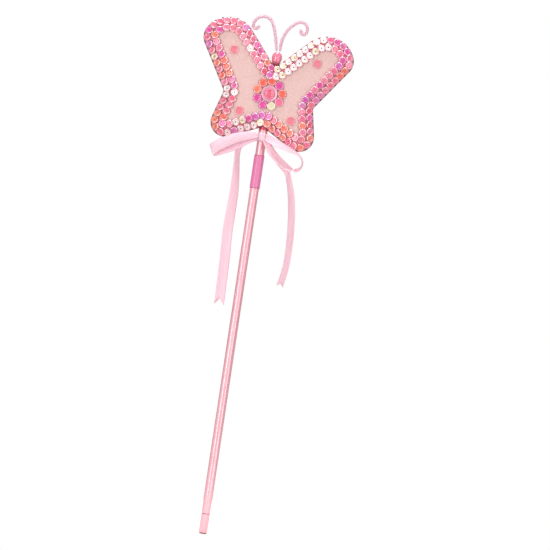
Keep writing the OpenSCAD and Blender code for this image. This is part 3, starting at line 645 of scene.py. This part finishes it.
def makeCushions(frontCloth, backCloth):
    p = padding
    bm = edgeLine.copy()
    bmesh.ops.contextual_create(bm, geom=bm.edges[:])
    bmesh.ops.translate(bm, verts=bm.verts, vec=(0, -p["slab"], 0))
    grown = bmesh.ops.extrude_face_region(bm, geom=bm.faces[:])
    raised = [v for v in grown["geom"] if isinstance(v, bmesh.types.BMVert)]
    bmesh.ops.translate(bm, verts=raised, vec=(0, 2 * p["slab"], 0))
    bmesh.ops.recalc_face_normals(bm, faces=bm.faces)
    slab = newObject("slab", bm)
    remesh = slab.modifiers.new("even", "REMESH")
    remesh.mode = "VOXEL"
    remesh.voxel_size = p["voxel"]
    bpy.context.view_layer.update()
    mesh = finalMesh(slab)
    bpy.data.objects.remove(slab)

    whole = bmesh.new()
    whole.from_mesh(mesh)
    inset = whole.verts.layers.float.new("inset")
    for vert in whole.verts:
        x, y, z = vert.co
        share = max(-1, min(1, y / p["slab"]))
        vert[inset] = edgeAt(x, z)[0]
        vert.co.y = share * swell(x, z, 1 if share > 0 else -1)
    bmesh.ops.smooth_vert(whole, verts=whole.verts, factor=p["relax"], use_axis_y=True)

    pieces = {}
    for name, keep in (("left", -1), ("right", 1)):
        half = whole.copy()
        cut = bmesh.ops.bisect_plane(
            half, geom=half.verts[:] + half.edges[:] + half.faces[:], dist=1e-5,
            plane_co=(0, 0, 0), plane_no=(keep, 0, 0), clear_inner=True,
        )
        edges = [e for e in cut["geom_cut"] if isinstance(e, bmesh.types.BMEdge)]
        bmesh.ops.holes_fill(half, edges=edges)
        half.normal_update()
        for edge in edges:
            edge.smooth = False
        for face in half.faces:
            face.material_index = 0 if face.normal.y < p["backLean"] else 1
        bmesh.ops.scale(half, verts=half.verts, vec=(mm, mm, mm))
        bmesh.ops.transform(half, matrix=headMatrix, verts=half.verts)
        obj = newObject(name + "Cushion", half, frontCloth, backCloth)
        smooth(obj)
        flexHalf(obj)
        pieces[name] = obj
    whole.free()
    for name, obj in pieces.items():
        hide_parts(*(f"{name}_wing_{part}" for part in ("filling", "front_panel", "back_panel")))
    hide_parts("centre_filling", "centre_front_panel", "centre_back_panel")
    print("cushions", [len(o.data.polygons) for o in pieces.values()])


def flexHalf(obj):
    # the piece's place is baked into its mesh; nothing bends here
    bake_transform(obj)


seam = {
    "radius": 0.5, "rest": 0.15, "step": 1.2, "uneven": 0.18, "seed": 3,
    # a stitch wraps the edge, its points so many degrees apart
    "stitch": 3.05, "reach": 0.8, "thread": 0.42, "slant": 0.7, "wrap": 55, "bulge": 1.3,
}


def makeSeam(thread):
    # rolled edge round the sewn outline, with its stitches
    for name, sign in (("left", -1), ("right", 1)):
        curve = bpy.data.curves.new(name + "Seam", "CURVE")
        curve.dimensions = "3D"
        curve.bevel_depth = seam["radius"] * mm
        curve.bevel_resolution = 1
        points = []
        for (x, z, radius), start, end in outlineArcs():
            steps = max(3, int(abs(radius * (end - start)) / seam["step"]))
            inner = radius - seam["rest"]
            for k in range(steps + 1):
                a = start + (end - start) * k / steps
                points.append((sign * (x + inner * math.cos(a)), z + inner * math.sin(a)))
        line = curve.splines.new("POLY")
        line.points.add(len(points) - 1)
        for point, (x, z) in zip(line.points, points):
            point.co = (*(fromHead @ Vector((x, 0, z))), 1)
            point.radius = 1 + seam["uneven"] * noise.noise(Vector((x, seam["seed"], z)))
        for at, along in rowPlaces(0, seam["stitch"], sequinRows["shift"]):
            out = Vector((along.z, 0, -along.x)) * seam["reach"]
            line = curve.splines.new("POLY")
            line.points.add(4)
            for k, point in zip(range(-2, 3), line.points):
                a = math.radians(seam["wrap"]) * k
                spot = at + out * math.cos(a) + along * seam["slant"] * k / 2
                depth = -seam["bulge"] * seam["reach"] * math.sin(a)
                point.co = (*(fromHead @ Vector((sign * spot.x, depth, spot.z))), 1)
                point.radius = seam["thread"]
        rolled = newPiece(name + "SeamCurve", curve)
        mesh = finalMesh(rolled)
        bpy.data.objects.remove(rolled)
        obj = newPiece(name + "Seam", mesh, thread)
        smooth(obj)
        flexHalf(obj)
    print("seams done")


# sequins: crest is how far the ring inside the rim stands above the edge

pearl = linear(252, 239, 237)
cream = linear(240, 224, 192)
tints = {
    "pink": linear(244, 106, 146), "coral": linear(246, 102, 84), "rose": linear(240, 82, 124),
    "magenta": linear(230, 70, 158), "peach": linear(248, 124, 100), "lilac": linear(222, 88, 180),
}
sequin = {
    "radius": 3.8, "rim": 1.05, "crest": 0.44, "rimFilm": 1, "flat": 1.6, "hole": 0.6, "rise": 0.8,
    "sides": 12, "film": 0.12, "lift": 1.4, "tilt": 14, "tiltSpread": 5, "leanSpread": 6, "slopeStep": 1.2,
    # how much pearl goes into the rims, partly the film's pearly edge and partly painted highlight, how much
    # rose goes into the pale ones' rims as painted shade, and how much shade goes into the holes
    "rimPearlAndHighlight": 0.44, "paleRimShade": 0.35, "holeShade": (0.3, 0.03, 0.08, 1), "holeShare": 0.4,
    "paleHole": linear(58, 34, 38),
}
sequinRows = {
    "outer": 3.7, "inner": 10.3, "pitch": 6.1, "shift": 0.5, "step": 0.25,
    # the colours drift along the rows in this order
    "clusters": ["coral", "peach", "pink", "rose", "pink", "magenta", "lilac"],
    "drift": 0.05, "rowDrift": 0.2, "scatter": 0.45, "spread": 0.75, "pearlShare": (0.03, 0.2),
    # share of pale sequins, and of pearl among them
    "pale": 0.03, "pearl": 0.8,
    # patches with more of them, partly painted highlight as pale sequins where the rows catch the light:
    # where they lie, and which way the edge faces there in degrees
    "patches": [
        {"pale": 0.9, "x": (0, 80), "z": (-40, 90), "facing": (93, 142)},
        {"pale": 0.7, "x": (-80, 0), "z": (-40, -4), "facing": (-80, -45)},
        {"pale": 0.35, "x": (-80, -30), "z": (2, 16), "facing": (-180, 180)},
    ],
}


def islands(name):
    # middle of each separate solid of a node, in the order of its vertices
    bm = bmesh.new()
    bm.from_mesh(nodes[name].data)
    bmesh.ops.remove_doubles(bm, verts=bm.verts, dist=1e-7)
    seen = set()
    middles = []
    for first in bm.verts:
        if first in seen:
            continue
        seen.add(first)
        stack, group = [first], []
        while stack:
            vert = stack.pop()
            group.append(vert.co.copy())
            for edge in vert.link_edges:
                other = edge.other_vert(vert)
                if other not in seen:
                    seen.add(other)
                    stack.append(other)
        cloud = np.array(group)
        middles.append(Vector((cloud.max(axis=0) + cloud.min(axis=0)) / 2))
    bm.free()
    return middles


def newFilm():
    bm = bmesh.new()
    return bm, bm.loops.layers.float_color.new("tint")


def addSequin(bm, layer, shape, matrix, tint, rim, dot):
    # a cup of film: rim with its crest inside, slope, flat middle and sewing hole
    made = bmesh.ops.create_circle(bm, cap_ends=True, segments=shape["sides"], radius=shape["radius"])
    face = next(f for f in made["verts"][0].link_faces if all(v in made["verts"] for v in f.verts))

    def inset(start, end, depth, **values):
        return bmesh.ops.inset_region(bm, faces=[face], thickness=start - end, depth=depth, **values)["faces"]

    inner = shape["radius"] - shape["rim"]
    lip = inset(shape["radius"], inner, shape["crest"], use_boundary=True)
    slope = inset(inner, shape["flat"], -shape["rise"])
    flat = inset(shape["flat"], shape["hole"], 0)
    for f in lip + slope + flat:
        for loop in f.loops:
            loop[layer] = rim if f in lip else tint
    for loop in face.loops:
        loop[layer] = dot
    for f in lip:
        f.material_index = shape["rimFilm"]
    for f in lip + slope:
        f.smooth = True
    verts = {v for f in lip + slope + flat + [face] for v in f.verts}
    bmesh.ops.transform(bm, matrix=matrix, verts=list(verts))


def mixed(first, second, share):
    return tuple(a + (b - a) * share for a, b in zip(first, second))


def rowTint(rng, x, z, inset, facing):
    # clusters of colour round the rows, with the pale ones in patches, partly painted highlight
    pale = sequinRows["pale"]
    for patch in sequinRows["patches"]:
        spans = ((x, patch["x"]), (z, patch["z"]), (facing, patch["facing"]))
        if all(low <= value <= high for value, (low, high) in spans):
            pale = patch["pale"]
    if rng.random() < pale:
        return pearl if rng.random() < sequinRows["pearl"] else cream
    rate, rowRate = sequinRows["drift"], sequinRows["rowDrift"]
    drift = noise.noise(Vector((x * rate, z * rate, inset * rowRate)))
    drift += rng.uniform(-sequinRows["scatter"], sequinRows["scatter"])
    names, spread = sequinRows["clusters"], sequinRows["spread"]
    pick = int((drift + spread) / (2 * spread) * len(names))
    tint = tints[names[max(0, min(len(names) - 1, pick))]]
    return mixed(tint, pearl, rng.uniform(*sequinRows["pearlShare"]))


def rowPlaces(inset, pitch, shift):
    # evenly spaced places along the right half of the outline set in by inset, with the way along
    line = []
    for (x, z, radius), start, end in outlineArcs():
        inner = radius - inset
        steps = max(6, int(abs(inner * (end - start)) / sequinRows["step"]))
        for k in range(steps + 1):
            a = start + (end - start) * k / steps
            line.append(Vector((x + inner * math.cos(a), 0, z + inner * math.sin(a))))
    lengths = [0.0]
    for p, q in zip(line, line[1:]):
        lengths.append(lengths[-1] + (q - p).length)
    count = round(lengths[-1] / pitch)
    places = []
    for k in range(count):
        want = (k + shift) * lengths[-1] / count
        i = max(1, int(np.searchsorted(lengths, want)))
        share = (want - lengths[i - 1]) / max(1e-6, lengths[i] - lengths[i - 1])
        places.append((line[i - 1].lerp(line[i], share), (line[i] - line[i - 1]).normalized()))
    return places


def makeRows(film, rimFilm):
    count = 0
    for side, sign in (("left", -1), ("right", 1)):
        for row in ("outer", "inner"):
            rng = random.Random(side + row)
            bm, layer = newFilm()
            for at, along in rowPlaces(sequinRows[row], sequinRows["pitch"], sequinRows["shift"]):
                x, z = sign * at.x, at.z
                along = Vector((sign * along.x, 0, along.z)) * sign
                addRowSequin(bm, layer, rng, x, z, along, edgeAt(x, z)[1], sequinRows[row])
                count += 1
            name = side + "_" + row + "_sequins"
            bm.normal_update()
            obj = newObject(camel(name), bm, film, rimFilm)
            thicken(obj, sequin["film"])
            flexHalf(obj)
            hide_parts(name)
            if row == "outer":
                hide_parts("centre_sequins")
    print("row sequins", count)


def addRowSequin(bm, layer, rng, x, z, along, out, inset):
    tint = rowTint(rng, x, z, inset, math.degrees(math.atan2(out.z, out.x)))
    if tint in (pearl, cream):
        # painted shade: a pale sequin's rim is mixed with rose for the shade in its cup
        rim = mixed(pearl, tints["rose"], sequin["paleRimShade"])
        dot = sequin["paleHole"]
    else:
        # the rim mixed towards pearl, partly the film's edge and partly painted highlight
        rim = mixed(tint, pearl, sequin["rimPearlAndHighlight"])
        dot = mixed(tint, sequin["holeShade"], sequin["holeShare"])
    # the cloth's own slope at this place
    step = sequin["slopeStep"]
    rise = swell(x - out.x * step, z - out.z * step, -1) - swell(x + out.x * step, z + out.z * step, -1)
    axis = (front * 2 * step + out * rise).normalized()
    lift = Vector((x, -swell(x, z, -1), z)) + axis * sequin["lift"]
    side = axis.cross(along).normalized()
    degrees = sequin["tilt"] + rng.uniform(-sequin["tiltSpread"], sequin["tiltSpread"])
    tilt = Matrix.Rotation(math.radians(degrees), 4, "Y")
    degrees = rng.uniform(-sequin["leanSpread"], sequin["leanSpread"])
    lean = Matrix.Rotation(math.radians(degrees), 4, "X")
    spin = Matrix.Rotation(rng.uniform(0, math.tau), 4, "Z")
    pose = turnTo(along, side, axis) @ lean @ tilt @ spin
    addSequin(bm, layer, sequin, fromHead @ Matrix.Translation(lift) @ pose, tint, rim, dot)


def camel(name):
    first, *rest = name.split("_")
    return first + "".join(word.capitalize() for word in rest)


def thicken(obj, thickness):
    wall = obj.modifiers.new("film", "SOLIDIFY")
    wall.thickness = thickness * mm
    wall.offset = -1


def finishFilm(bm, name, body, thickness, *films):
    bm.normal_update()
    obj = newObject(camel(name), bm, *films)
    thicken(obj, thickness)
    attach(obj, body)
    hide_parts(name)


# flower and spots: a shape's tints are those of its middle, rim and hole

flower = {
    "petal": {
        "radius": 4.1, "rim": 0.9, "crest": 0.4, "rimFilm": 1, "flat": 1.5, "hole": 0.4, "rise": 0.85,
        "sides": 12, "film": 0.15, "lift": 1.3, "tilt": (4, 14),
        "rimPearlAndHighlight": 0.4, "holeShade": (0.2, 0, 0.03, 1), "holeShare": 0.5,
    },
    "dish": {
        "radius": 7.2, "rim": 0.5, "crest": -0.15, "rimFilm": 0, "flat": 4.1, "hole": 0.5, "rise": 1.0,
        "sides": 24, "film": 0.2, "lift": 2.0,
        "tints": (linear(236, 158, 186), linear(242, 190, 206), linear(222, 124, 156)),
    },
    "button": {
        "radius": 4.1, "rim": 0.5, "crest": -0.15, "rimFilm": 0, "flat": 2.0, "hole": 0.55, "rise": 1.1,
        "sides": 18, "film": 0.2, "lift": 3.0,
        "tints": (linear(234, 98, 126), linear(244, 140, 160), linear(190, 52, 80)),
    },
    "spot": {
        "radius": 4.1, "rim": 0.9, "crest": -0.15, "rimFilm": 0, "flat": 1.9, "hole": 0.45, "rise": 0.45,
        "sides": 18, "film": 0.2, "lift": 0.75,
        "tints": (linear(234, 122, 140), linear(236, 160, 166), linear(222, 98, 122)),
    },
    # the petals sit loosely round the dish
    "spread": 0.16, "seed": 7,
    # the upper right spot sits nearer the rows
    "upperShift": Vector((-2, 0, 2)), "upperFrom": 20,
    # direction of each petal from the middle, in degrees, and its tint
    "petals": [
        (45, "magenta"), (3, "coral"), (-30, "pink"), (-75, None), (-130, "magenta"),
        (-172, "peach"), (163, "peach"), (138, "coral"), (102, "coral"),
    ],
}
flatTurn = turnTo(Vector((1, 0, 0)), Vector((0, 0, 1)), front)


def inHead(at):
    # a place in the scene, in the butterfly's own millimetres
    return (toHead @ at) / mm


def makePetals(film, rimFilm, middle):
    petal = flower["petal"]
    rng = random.Random(flower["seed"])
    bm, layer = newFilm()
    for at in islands("flower_petals"):
        at = inHead(at)
        way = Vector((at.x - middle.x, 0, at.z - middle.z))
        at += way * flower["spread"]
        way.normalize()
        angle = math.degrees(math.atan2(way.z, way.x))
        _, name = min(flower["petals"], key=lambda p: abs((p[0] - angle + 180) % 360 - 180))
        tint = cream if name is None else tints[name]
        # the rim mixed towards pearl, partly the film's edge and partly painted highlight
        rim = mixed(tint, pearl, petal["rimPearlAndHighlight"])
        dot = mixed(tint, petal["holeShade"], petal["holeShare"])
        tilt = Matrix.Rotation(math.radians(rng.uniform(*petal["tilt"])), 4, "Y")
        lift = Matrix.Translation((at.x, -swell(at.x, at.z, -1) - petal["lift"], at.z))
        pose = turnTo(way, front.cross(way), front) @ tilt
        addSequin(bm, layer, petal, fromHead @ lift @ pose, tint, rim, dot)
    finishFilm(bm, "flower_petals", "wand", petal["film"], film, rimFilm)


def makeFlower(film, rimFilm, clear):
    middle = inHead(islands("flower_button")[0])
    makePetals(film, rimFilm, middle)
    for key, material in (("dish", clear), ("button", film)):
        shape = flower[key]
        bm, layer = newFilm()
        lift = Matrix.Translation((middle.x, -padding["height"] - shape["lift"], middle.z))
        addSequin(bm, layer, shape, fromHead @ lift @ flatTurn, *shape["tints"])
        finishFilm(bm, "flower_" + key, "wand", shape["film"], material)
    print("flower done")


def makeSpots(clear):
    spot = flower["spot"]
    for side in ("left", "right"):
        bm, layer = newFilm()
        for at in islands(side + "_spots"):
            at = inHead(at)
            if side == "right" and at.z > flower["upperFrom"]:
                at += flower["upperShift"]
            lift = Matrix.Translation((at.x, -swell(at.x, at.z, -1) - spot["lift"], at.z))
            addSequin(bm, layer, spot, fromHead @ lift @ flatTurn, *spot["tints"])
        finishFilm(bm, side + "_spots", side + "_wing", spot["film"], clear)
    print("spots done")


# ribbon: rows of x, y, z, the way across and the width, in millimetres

ribbon = {
    "width": 9.5, "thick": 0.25, "across": 8, "samples": 200, "look": 0.004,
    "pleats": 2.5, "cup": 0.06, "cupTurn": 9, "level": 0.4,
    # the sheet call takes no narrower width
    "least": 10,
}
bow = {
    "z": 359, "y": -7.2, "layer": 1.0, "gather": 5.2, "wrap": 4.4, "turns": 24,
    "knot": {"wide": 5.8, "high": 6.8, "deep": 4.4, "lift": 1, "steep": 4, "waist": 0.9},
    # each tail's hinge under the bow, and the depth of the V at its end
    "leftTail": {"fold": (-20.3, -19), "cut": 5.5}, "rightTail": {"fold": (29.3, -31.5), "cut": 2.6},
    # the tail bends from so far above its hinge to so far below
    "bend": (3, -4),
}


def spline(rows, t):
    # smooth curve through all the rows, t from 0 to 1
    last = len(rows) - 1
    k = min(int(t * last), last - 1)
    s = t * last - k
    q, r = np.array(rows[k]), np.array(rows[k + 1])
    p = np.array(rows[k - 1]) if k else 2 * q - r
    n = np.array(rows[k + 2]) if k + 2 <= last else 2 * r - q
    square = 2 * p - 5 * q + 4 * r - n
    cube = 3 * q - p - 3 * r + n
    return 0.5 * (2 * q + (r - p) * s + square * s * s + cube * s ** 3)


def splinePoint(rows, t):
    return Vector(spline(rows, t)[:3])


def ribbonStrip(name, rows, material, cut=0, pleats=0.0, steps=6, crown=0.0):
    rows = [tuple(float(v) for v in row) for row in rows]
    bm = bmesh.new()
    uv = bm.loops.layers.uv.new("cut")
    edge = bm.verts.layers.float.new("edge")
    bmesh.ops.create_grid(
        bm, x_segments=ribbon["across"], y_segments=steps * (len(rows) - 1), size=0.5, calc_uvs=True,
    )
    points = [splinePoint(rows, k / ribbon["samples"]) for k in range(ribbon["samples"] + 1)]
    length = sum((q - p).length for p, q in zip(points, points[1:]))
    speed = (splinePoint(rows, 1) - splinePoint(rows, 0.99)).length / 0.01
    flat = {}
    for vert in bm.verts:
        u, t = 2 * vert.co.x, vert.co.y + 0.5
        # the V at the end
        t -= cut / speed * (1 - abs(u)) * t ** 4
        row = spline(rows, t)
        ahead = splinePoint(rows, min(1, t + ribbon["look"]))
        behind = splinePoint(rows, max(0, t - ribbon["look"]))
        along = (ahead - behind).normalized()
        across = Vector(row[3:6])
        across = (across - along * across.dot(along)).normalized()
        out = along.cross(across)
        wide = row[6]
        # a gathered stretch is pleated, a free one is slightly cupped
        slack = max(0, 1 - wide / ribbon["width"])
        fold = pleats * slack * math.cos(u * math.pi * ribbon["pleats"])
        hollow = u * u - ribbon["level"]
        fold += ribbon["cup"] * wide * hollow * math.sin(t * ribbon["cupTurn"])
        fold -= crown * wide * hollow * math.sin(math.pi * t) ** 2
        flat[vert.index] = (u, t)
        vert[edge] = abs(u)
        vert.co = (Vector(row[:3]) + across * wide / 2 * u + out * fold) * mm
    for face in bm.faces:
        for loop in face.loops:
            u, t = flat[loop.vert.index]
            loop[uv].uv = (u * ribbon["width"] / 2 * mm, t * length * mm)
    obj = newObject(name, bm, material)
    smooth(obj)
    wall = obj.modifiers.new("cloth", "SOLIDIFY")
    wall.thickness = ribbon["thick"] * mm
    wall.offset = 0
    return obj, length * mm, sum(f.area for f in obj.data.polygons)


def makeLoops(satin):
    z, y, layer, gather = bow["z"], bow["y"], bow["layer"], bow["gather"]
    wide, beside = ribbon["width"], bow["knot"]["wide"] / 2
    leftLoop = [
        (-1.2, y - layer, z + 1.2, 0, 0, 1, gather),
        (-beside - 1, y - layer, z + 1.4, -0.1, 0, 1, gather),
        (-14, y - 3.3, z - 0.6, -0.36, 0, 0.93, wide * 0.84),
        (-26, y - 4.6, z - 5.4, -0.45, 0, 0.89, wide),
        (-37, y - 4.2, z - 12.2, -0.5, 0, 0.87, wide * 1.04),
        (-42.4, y - 2, z - 16.6, -0.5, 0, 0.87, wide * 1.06),
        (-42, y + 0.4, z - 17.6, -0.5, 0, 0.87, wide * 1.06),
        (-37, y + 1, z - 16.2, -0.5, 0, 0.87, wide * 1.04),
        (-26, y + 0.7, z - 11.2, -0.45, 0, 0.89, wide),
        (-14, y + 0.2, z - 4.2, -0.4, 0, 0.9, wide * 0.86),
        (-beside - 1, y, z + 0.6, -0.2, 0, 1, gather),
        (-1.2, y, z + 1.2, 0, 0, 1, gather),
    ]
    rightLoop = [
        (1.2, y - layer, z + 1.2, 0, 0, 1, gather),
        (beside + 1.5, y - layer - 0.2, z + 0.3, 0, 0.2, 0.98, 6.4),
        (16.8, y - 1.8, z - 4.2, 0.1, 0.7, 0.7, wide * 0.98),
        (28.5, y - 2, z - 8, 0.2, 0.87, 0.45, wide),
        (35.8, y - 2, z - 11, 0.1, 0.97, 0.2, wide),
        (39.4, y - 2, z - 16.5, 0.1, 0.98, 0.1, wide),
        (37.8, y - 2, z - 22.8, 0, 0.95, 0.3, wide),
        (32, y - 2, z - 25.8, 0, 0.93, 0.37, wide),
        (24.1, y - 2, z - 22.6, 0.3, 0.72, 0.55, wide),
        (14.1, y - 1.6, z - 15, 0.45, 0.66, 0.58, wide * 0.96),
        (8, y - 1, z - 8.2, 0.5, 0.4, 0.7, 7.2),
        (beside + 0.6, y, z - 1.8, 0.35, 0.1, 0.93, gather),
        (1.2, y, z + 1.2, 0, 0, 1, gather),
    ]
    for name, rows, node, crown in (
        ("bowLeftLoop", leftLoop, "bow_left_loop", -0.2), ("bowRightLoop", rightLoop, "bow_right_loop", 0.1),
    ):
        obj, length, area = ribbonStrip(name, rows, satin, pleats=0.5, crown=crown)
        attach(obj, "wand")
        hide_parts(node)


def makeKnot(satin):
    # the turn of ribbon that holds the loops, and the one round the stick
    z, y, knot = bow["z"], bow["y"], bow["knot"]
    radius = knot["deep"] / 2
    knotRows, wrapRows = [], []
    for k in range(bow["turns"] + 1):
        a = math.tau * k / bow["turns"]
        wrapRows.append((bow["wrap"] * math.sin(a), bow["wrap"] * math.cos(a), z, 0, 0, 1, knot["high"]))
        a += math.pi / 2
        up = math.sin(a)
        straight = (knot["high"] / 2 - radius) * max(-1, min(1, up * knot["steep"]))
        width = knot["wide"] * (knot["waist"] + (1 - knot["waist"]) * abs(up))
        height = z + knot["lift"] + radius * up + straight
        knotRows.append((0, y + radius * math.cos(a), height, 1, 0, 0, width))
    for name, rows, node in (("bowKnot", knotRows, "bow_knot"), ("bowWrap", wrapRows, "bow_wrap")):
        obj, length, area = ribbonStrip(name, rows, satin, steps=2, pleats=0.6)
        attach(obj, "wand")
        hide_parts(node)


def makeTails(satin):
    z, behind = bow["z"], bow["y"] + bow["layer"]
    wide, beside = ribbon["width"], bow["knot"]["wide"] / 2
    leftTail = [
        (-1.2, behind, z - 0.2, 0, 0, -1, 4.2),
        (-beside - 1, behind + 0.1, z - 0.9, 0.1, 0, -1, 4.2),
        (-12, behind + 1, z - 4.6, 0.6, 0.05, -0.8, 4.6),
        (-18.4, behind + 1.6, z - 9.6, 0.85, 0.4, -0.3, 5.4),
        (-19.8, behind + 1.8, z - 16, 0.7, 0.7, 0, 6.6),
        (-19.2, behind + 1.8, z - 24, 0.66, 0.75, 0, 7.4),
        (-18.2, behind + 1.5, z - 36, 0.74, 0.67, 0, 8.4),
        (-17.5, behind + 1.1, z - 50, 0.8, 0.6, 0, wide * 0.97),
        (-17.8, behind + 1.8, z - 68, 0.88, 0.48, 0, wide),
        (-18.2, behind + 1.9, z - 88, 0.92, 0.4, 0, wide),
        (-17.2, behind + 1.4, z - 108, 0.92, 0.4, 0, wide),
        (-16.6, behind + 1.7, z - 130, 0.92, 0.4, 0, wide),
        (-16.1, behind + 2.1, z - 153.6, 0.92, 0.4, 0, wide),
    ]
    rightTail = [
        (1.2, behind, z - 0.2, 0, 0, 1, 4.2),
        (beside + 1.4, behind + 0.8, z - 1.6, 0.4, 0, 0.9, 4),
        (9.6, behind + 2.2, z - 9.6, 0.7, 0, 0.7, 4),
        (18, behind + 2.8, z - 19.4, 0.69, -0.1, 0.72, 4.4),
        (25.2, behind + 2.4, z - 25.4, 0.7, -0.4, 0.5, 5.6),
        (28, behind + 1.9, z - 29.6, 0.65, -0.74, 0, 7),
        (29.6, behind + 1.6, z - 35, 0.62, -0.78, 0, 8),
        (31.6, behind + 1.5, z - 41, 0.6, -0.8, 0, wide * 0.95),
        (33.9, behind + 1.2, z - 50, 0.62, -0.78, 0, wide),
        (36.4, behind + 0.8, z - 64, 0.64, -0.77, 0, wide),
        (38.2, behind + 1.2, z - 80, 0.64, -0.77, 0, wide),
        (38.9, behind + 1.4, z - 96, 0.6, -0.8, 0, wide),
        (38.6, behind + 1, z - 112, 0.58, -0.82, 0, wide),
        (35.6, behind + 1.5, z - 129.5, 0.62, -0.78, 0, wide),
    ]
    for side, rows in (("left", leftTail), ("right", rightTail)):
        tail = bow[side + "Tail"]
        obj, length, area = ribbonStrip(side + "TailRibbon", rows, satin, cut=tail["cut"], pleats=0.35)
        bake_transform(obj)
        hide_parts(side + "_tail_root", side + "_tail")


def makeBow(satin):
    makeLoops(satin)
    makeKnot(satin)
    makeTails(satin)
    print("bow done")


# antennae: arcs of radius and turn from the bend above the bead

antenna = {
    "left": {
        "start": (-1.6, 53.774, 102.5),
        "arcs": [(100, 0.974), (133, 7.6), (33, 11), (8.8, 64.5), (9.4, 86), (2.6, 190)],
    },
    "right": {
        "start": (1.6, 53.774, 98.5),
        "arcs": [(60, -1.623), (36, -12.7), (27, -43.7), (12.2, -15), (6.1, -122.8), (10, -13), (2.6, -190)],
    },
    "step": 0.4, "bare": 1.0, "core": 1.1, "sides": 8,
    "tuft": 0.85, "tuftSpread": (0.6, 1.15), "tuftWidth": 0.24, "taper": 0.35, "spacing": 0.05, "root": 0.9,
    "twist": 2.4, "twistSpread": 0.3, "lean": (-0.35, 0.5), "scatter": 0.2,
    # the tufts are short where the two antennae stand side by side
    "shortTuft": 0.35, "tuftGrowth": 7,
}


def antennaPath(side):
    # points x, z and direction along the arcs, in the butterfly's millimetres
    x, z, way = antenna[side]["start"]
    way = math.radians(way)
    points = [(x, z, way)]
    for radius, turn in antenna[side]["arcs"]:
        turn = math.radians(turn)
        count = max(3, int(abs(radius * turn) / antenna["step"]))
        for _ in range(count):
            half = turn / count / 2
            chord = 2 * radius * math.sin(abs(half))
            way += half
            x, z = x + chord * math.cos(way), z + chord * math.sin(way)
            way += half
            points.append((x, z, way))
    return points[int(antenna["bare"] / antenna["step"]):]


def addCore(bm, path):
    # a ring of edges drawn along the path
    ring = None
    for x, z, way in path:
        turn = Matrix.Translation((x, 0, z)) @ Matrix.Rotation(math.pi / 2 - way, 4, "Y")
        made = bmesh.ops.create_circle(bm, segments=antenna["sides"], radius=antenna["core"], matrix=turn)
        edges = list(dict.fromkeys(e for v in made["verts"] for e in v.link_edges))
        if ring:
            bmesh.ops.bridge_loops(bm, edges=ring + edges)
        else:
            bmesh.ops.contextual_create(bm, geom=edges)
        ring = edges
    bmesh.ops.contextual_create(bm, geom=ring)
    bmesh.ops.recalc_face_normals(bm, faces=bm.faces)


def addTufts(bm, path, rng):
    # tufts stand out all round, in a twisting row
    width, scatter = antenna["tuftWidth"], antenna["scatter"]
    tufts = int(len(path) * antenna["step"] / antenna["spacing"])
    for k in range(tufts):
        x, z, way = path[min(len(path) - 1, int(k / tufts * len(path)))]
        angle = k * antenna["twist"] + rng.uniform(-antenna["twistSpread"], antenna["twistSpread"])
        along = Vector((math.cos(way), 0, math.sin(way)))
        across = Vector((-along.z, 0, along.x))
        out = across * math.cos(angle) - front * math.sin(angle)
        out = (out + along * rng.uniform(*antenna["lean"])).normalized()
        grown = min(1, antenna["shortTuft"] + antenna["tuftGrowth"] * k / tufts)
        size = antenna["tuft"] * rng.uniform(*antenna["tuftSpread"]) * grown
        at = Vector((x, 0, z)) + along * rng.uniform(-scatter, scatter)
        at += out * (antenna["core"] * antenna["root"] + size / 2)
        turn = Matrix.Translation(at) @ out.to_track_quat("Z", "X").to_matrix().to_4x4()
        bmesh.ops.create_cone(
            bm, cap_ends=True, segments=3, radius1=width, radius2=width * antenna["taper"],
            depth=size, matrix=turn,
        )


def makeAntennae(pile, wire):
    for side in ("left", "right"):
        path = antennaPath(side)
        bm = bmesh.new()
        addCore(bm, path)
        addTufts(bm, path, random.Random(side))
        bmesh.ops.scale(bm, verts=bm.verts, vec=(mm, mm, mm))
        bmesh.ops.transform(bm, matrix=headMatrix, verts=bm.verts)
        obj = newObject(side + "AntennaPile", bm, pile)
        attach(obj, side + "_antenna")
        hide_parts(side + "_antenna_pile")
        dress(side + "_antenna_wire", wire)
    dress("antenna_stem", wire)
    print("antennae done")


setShot()
setLamps()
makeFloor()
print("camera, lamps and floor done")
dress("stick_tube", pearlPlastic("stickPearl", shaded=True))
dress("end_cap", pearlPlastic("capPearl", grooved=True))
dress("label_wrap", labelFilm())
dress("head_bead", beadGloss())
print("stick, cap, label and bead done")
makeCushions(
    paddedFabric("frontSatin", linear(229, 189, 184), linear(140, 70, 80), linear(244, 146, 164)),
    paddedFabric("backSatin", linear(243, 190, 198), linear(150, 84, 92)),
)
makeSeam(seamThread())
rowFilm = sequinFilm("rowFilm", 0.22, 0.1)
rimFilm = sequinFilm("rimFilm", 0.2, 0.5)
makeRows(rowFilm, rimFilm)
clearFilm = sequinFilm("clearFilm", 0.25, 0.0, 0.08)
makeFlower(rowFilm, rimFilm, clearFilm)
makeSpots(clearFilm)
makeBow(satinRibbon())
makeAntennae(fuzzyPile(), bareWire())
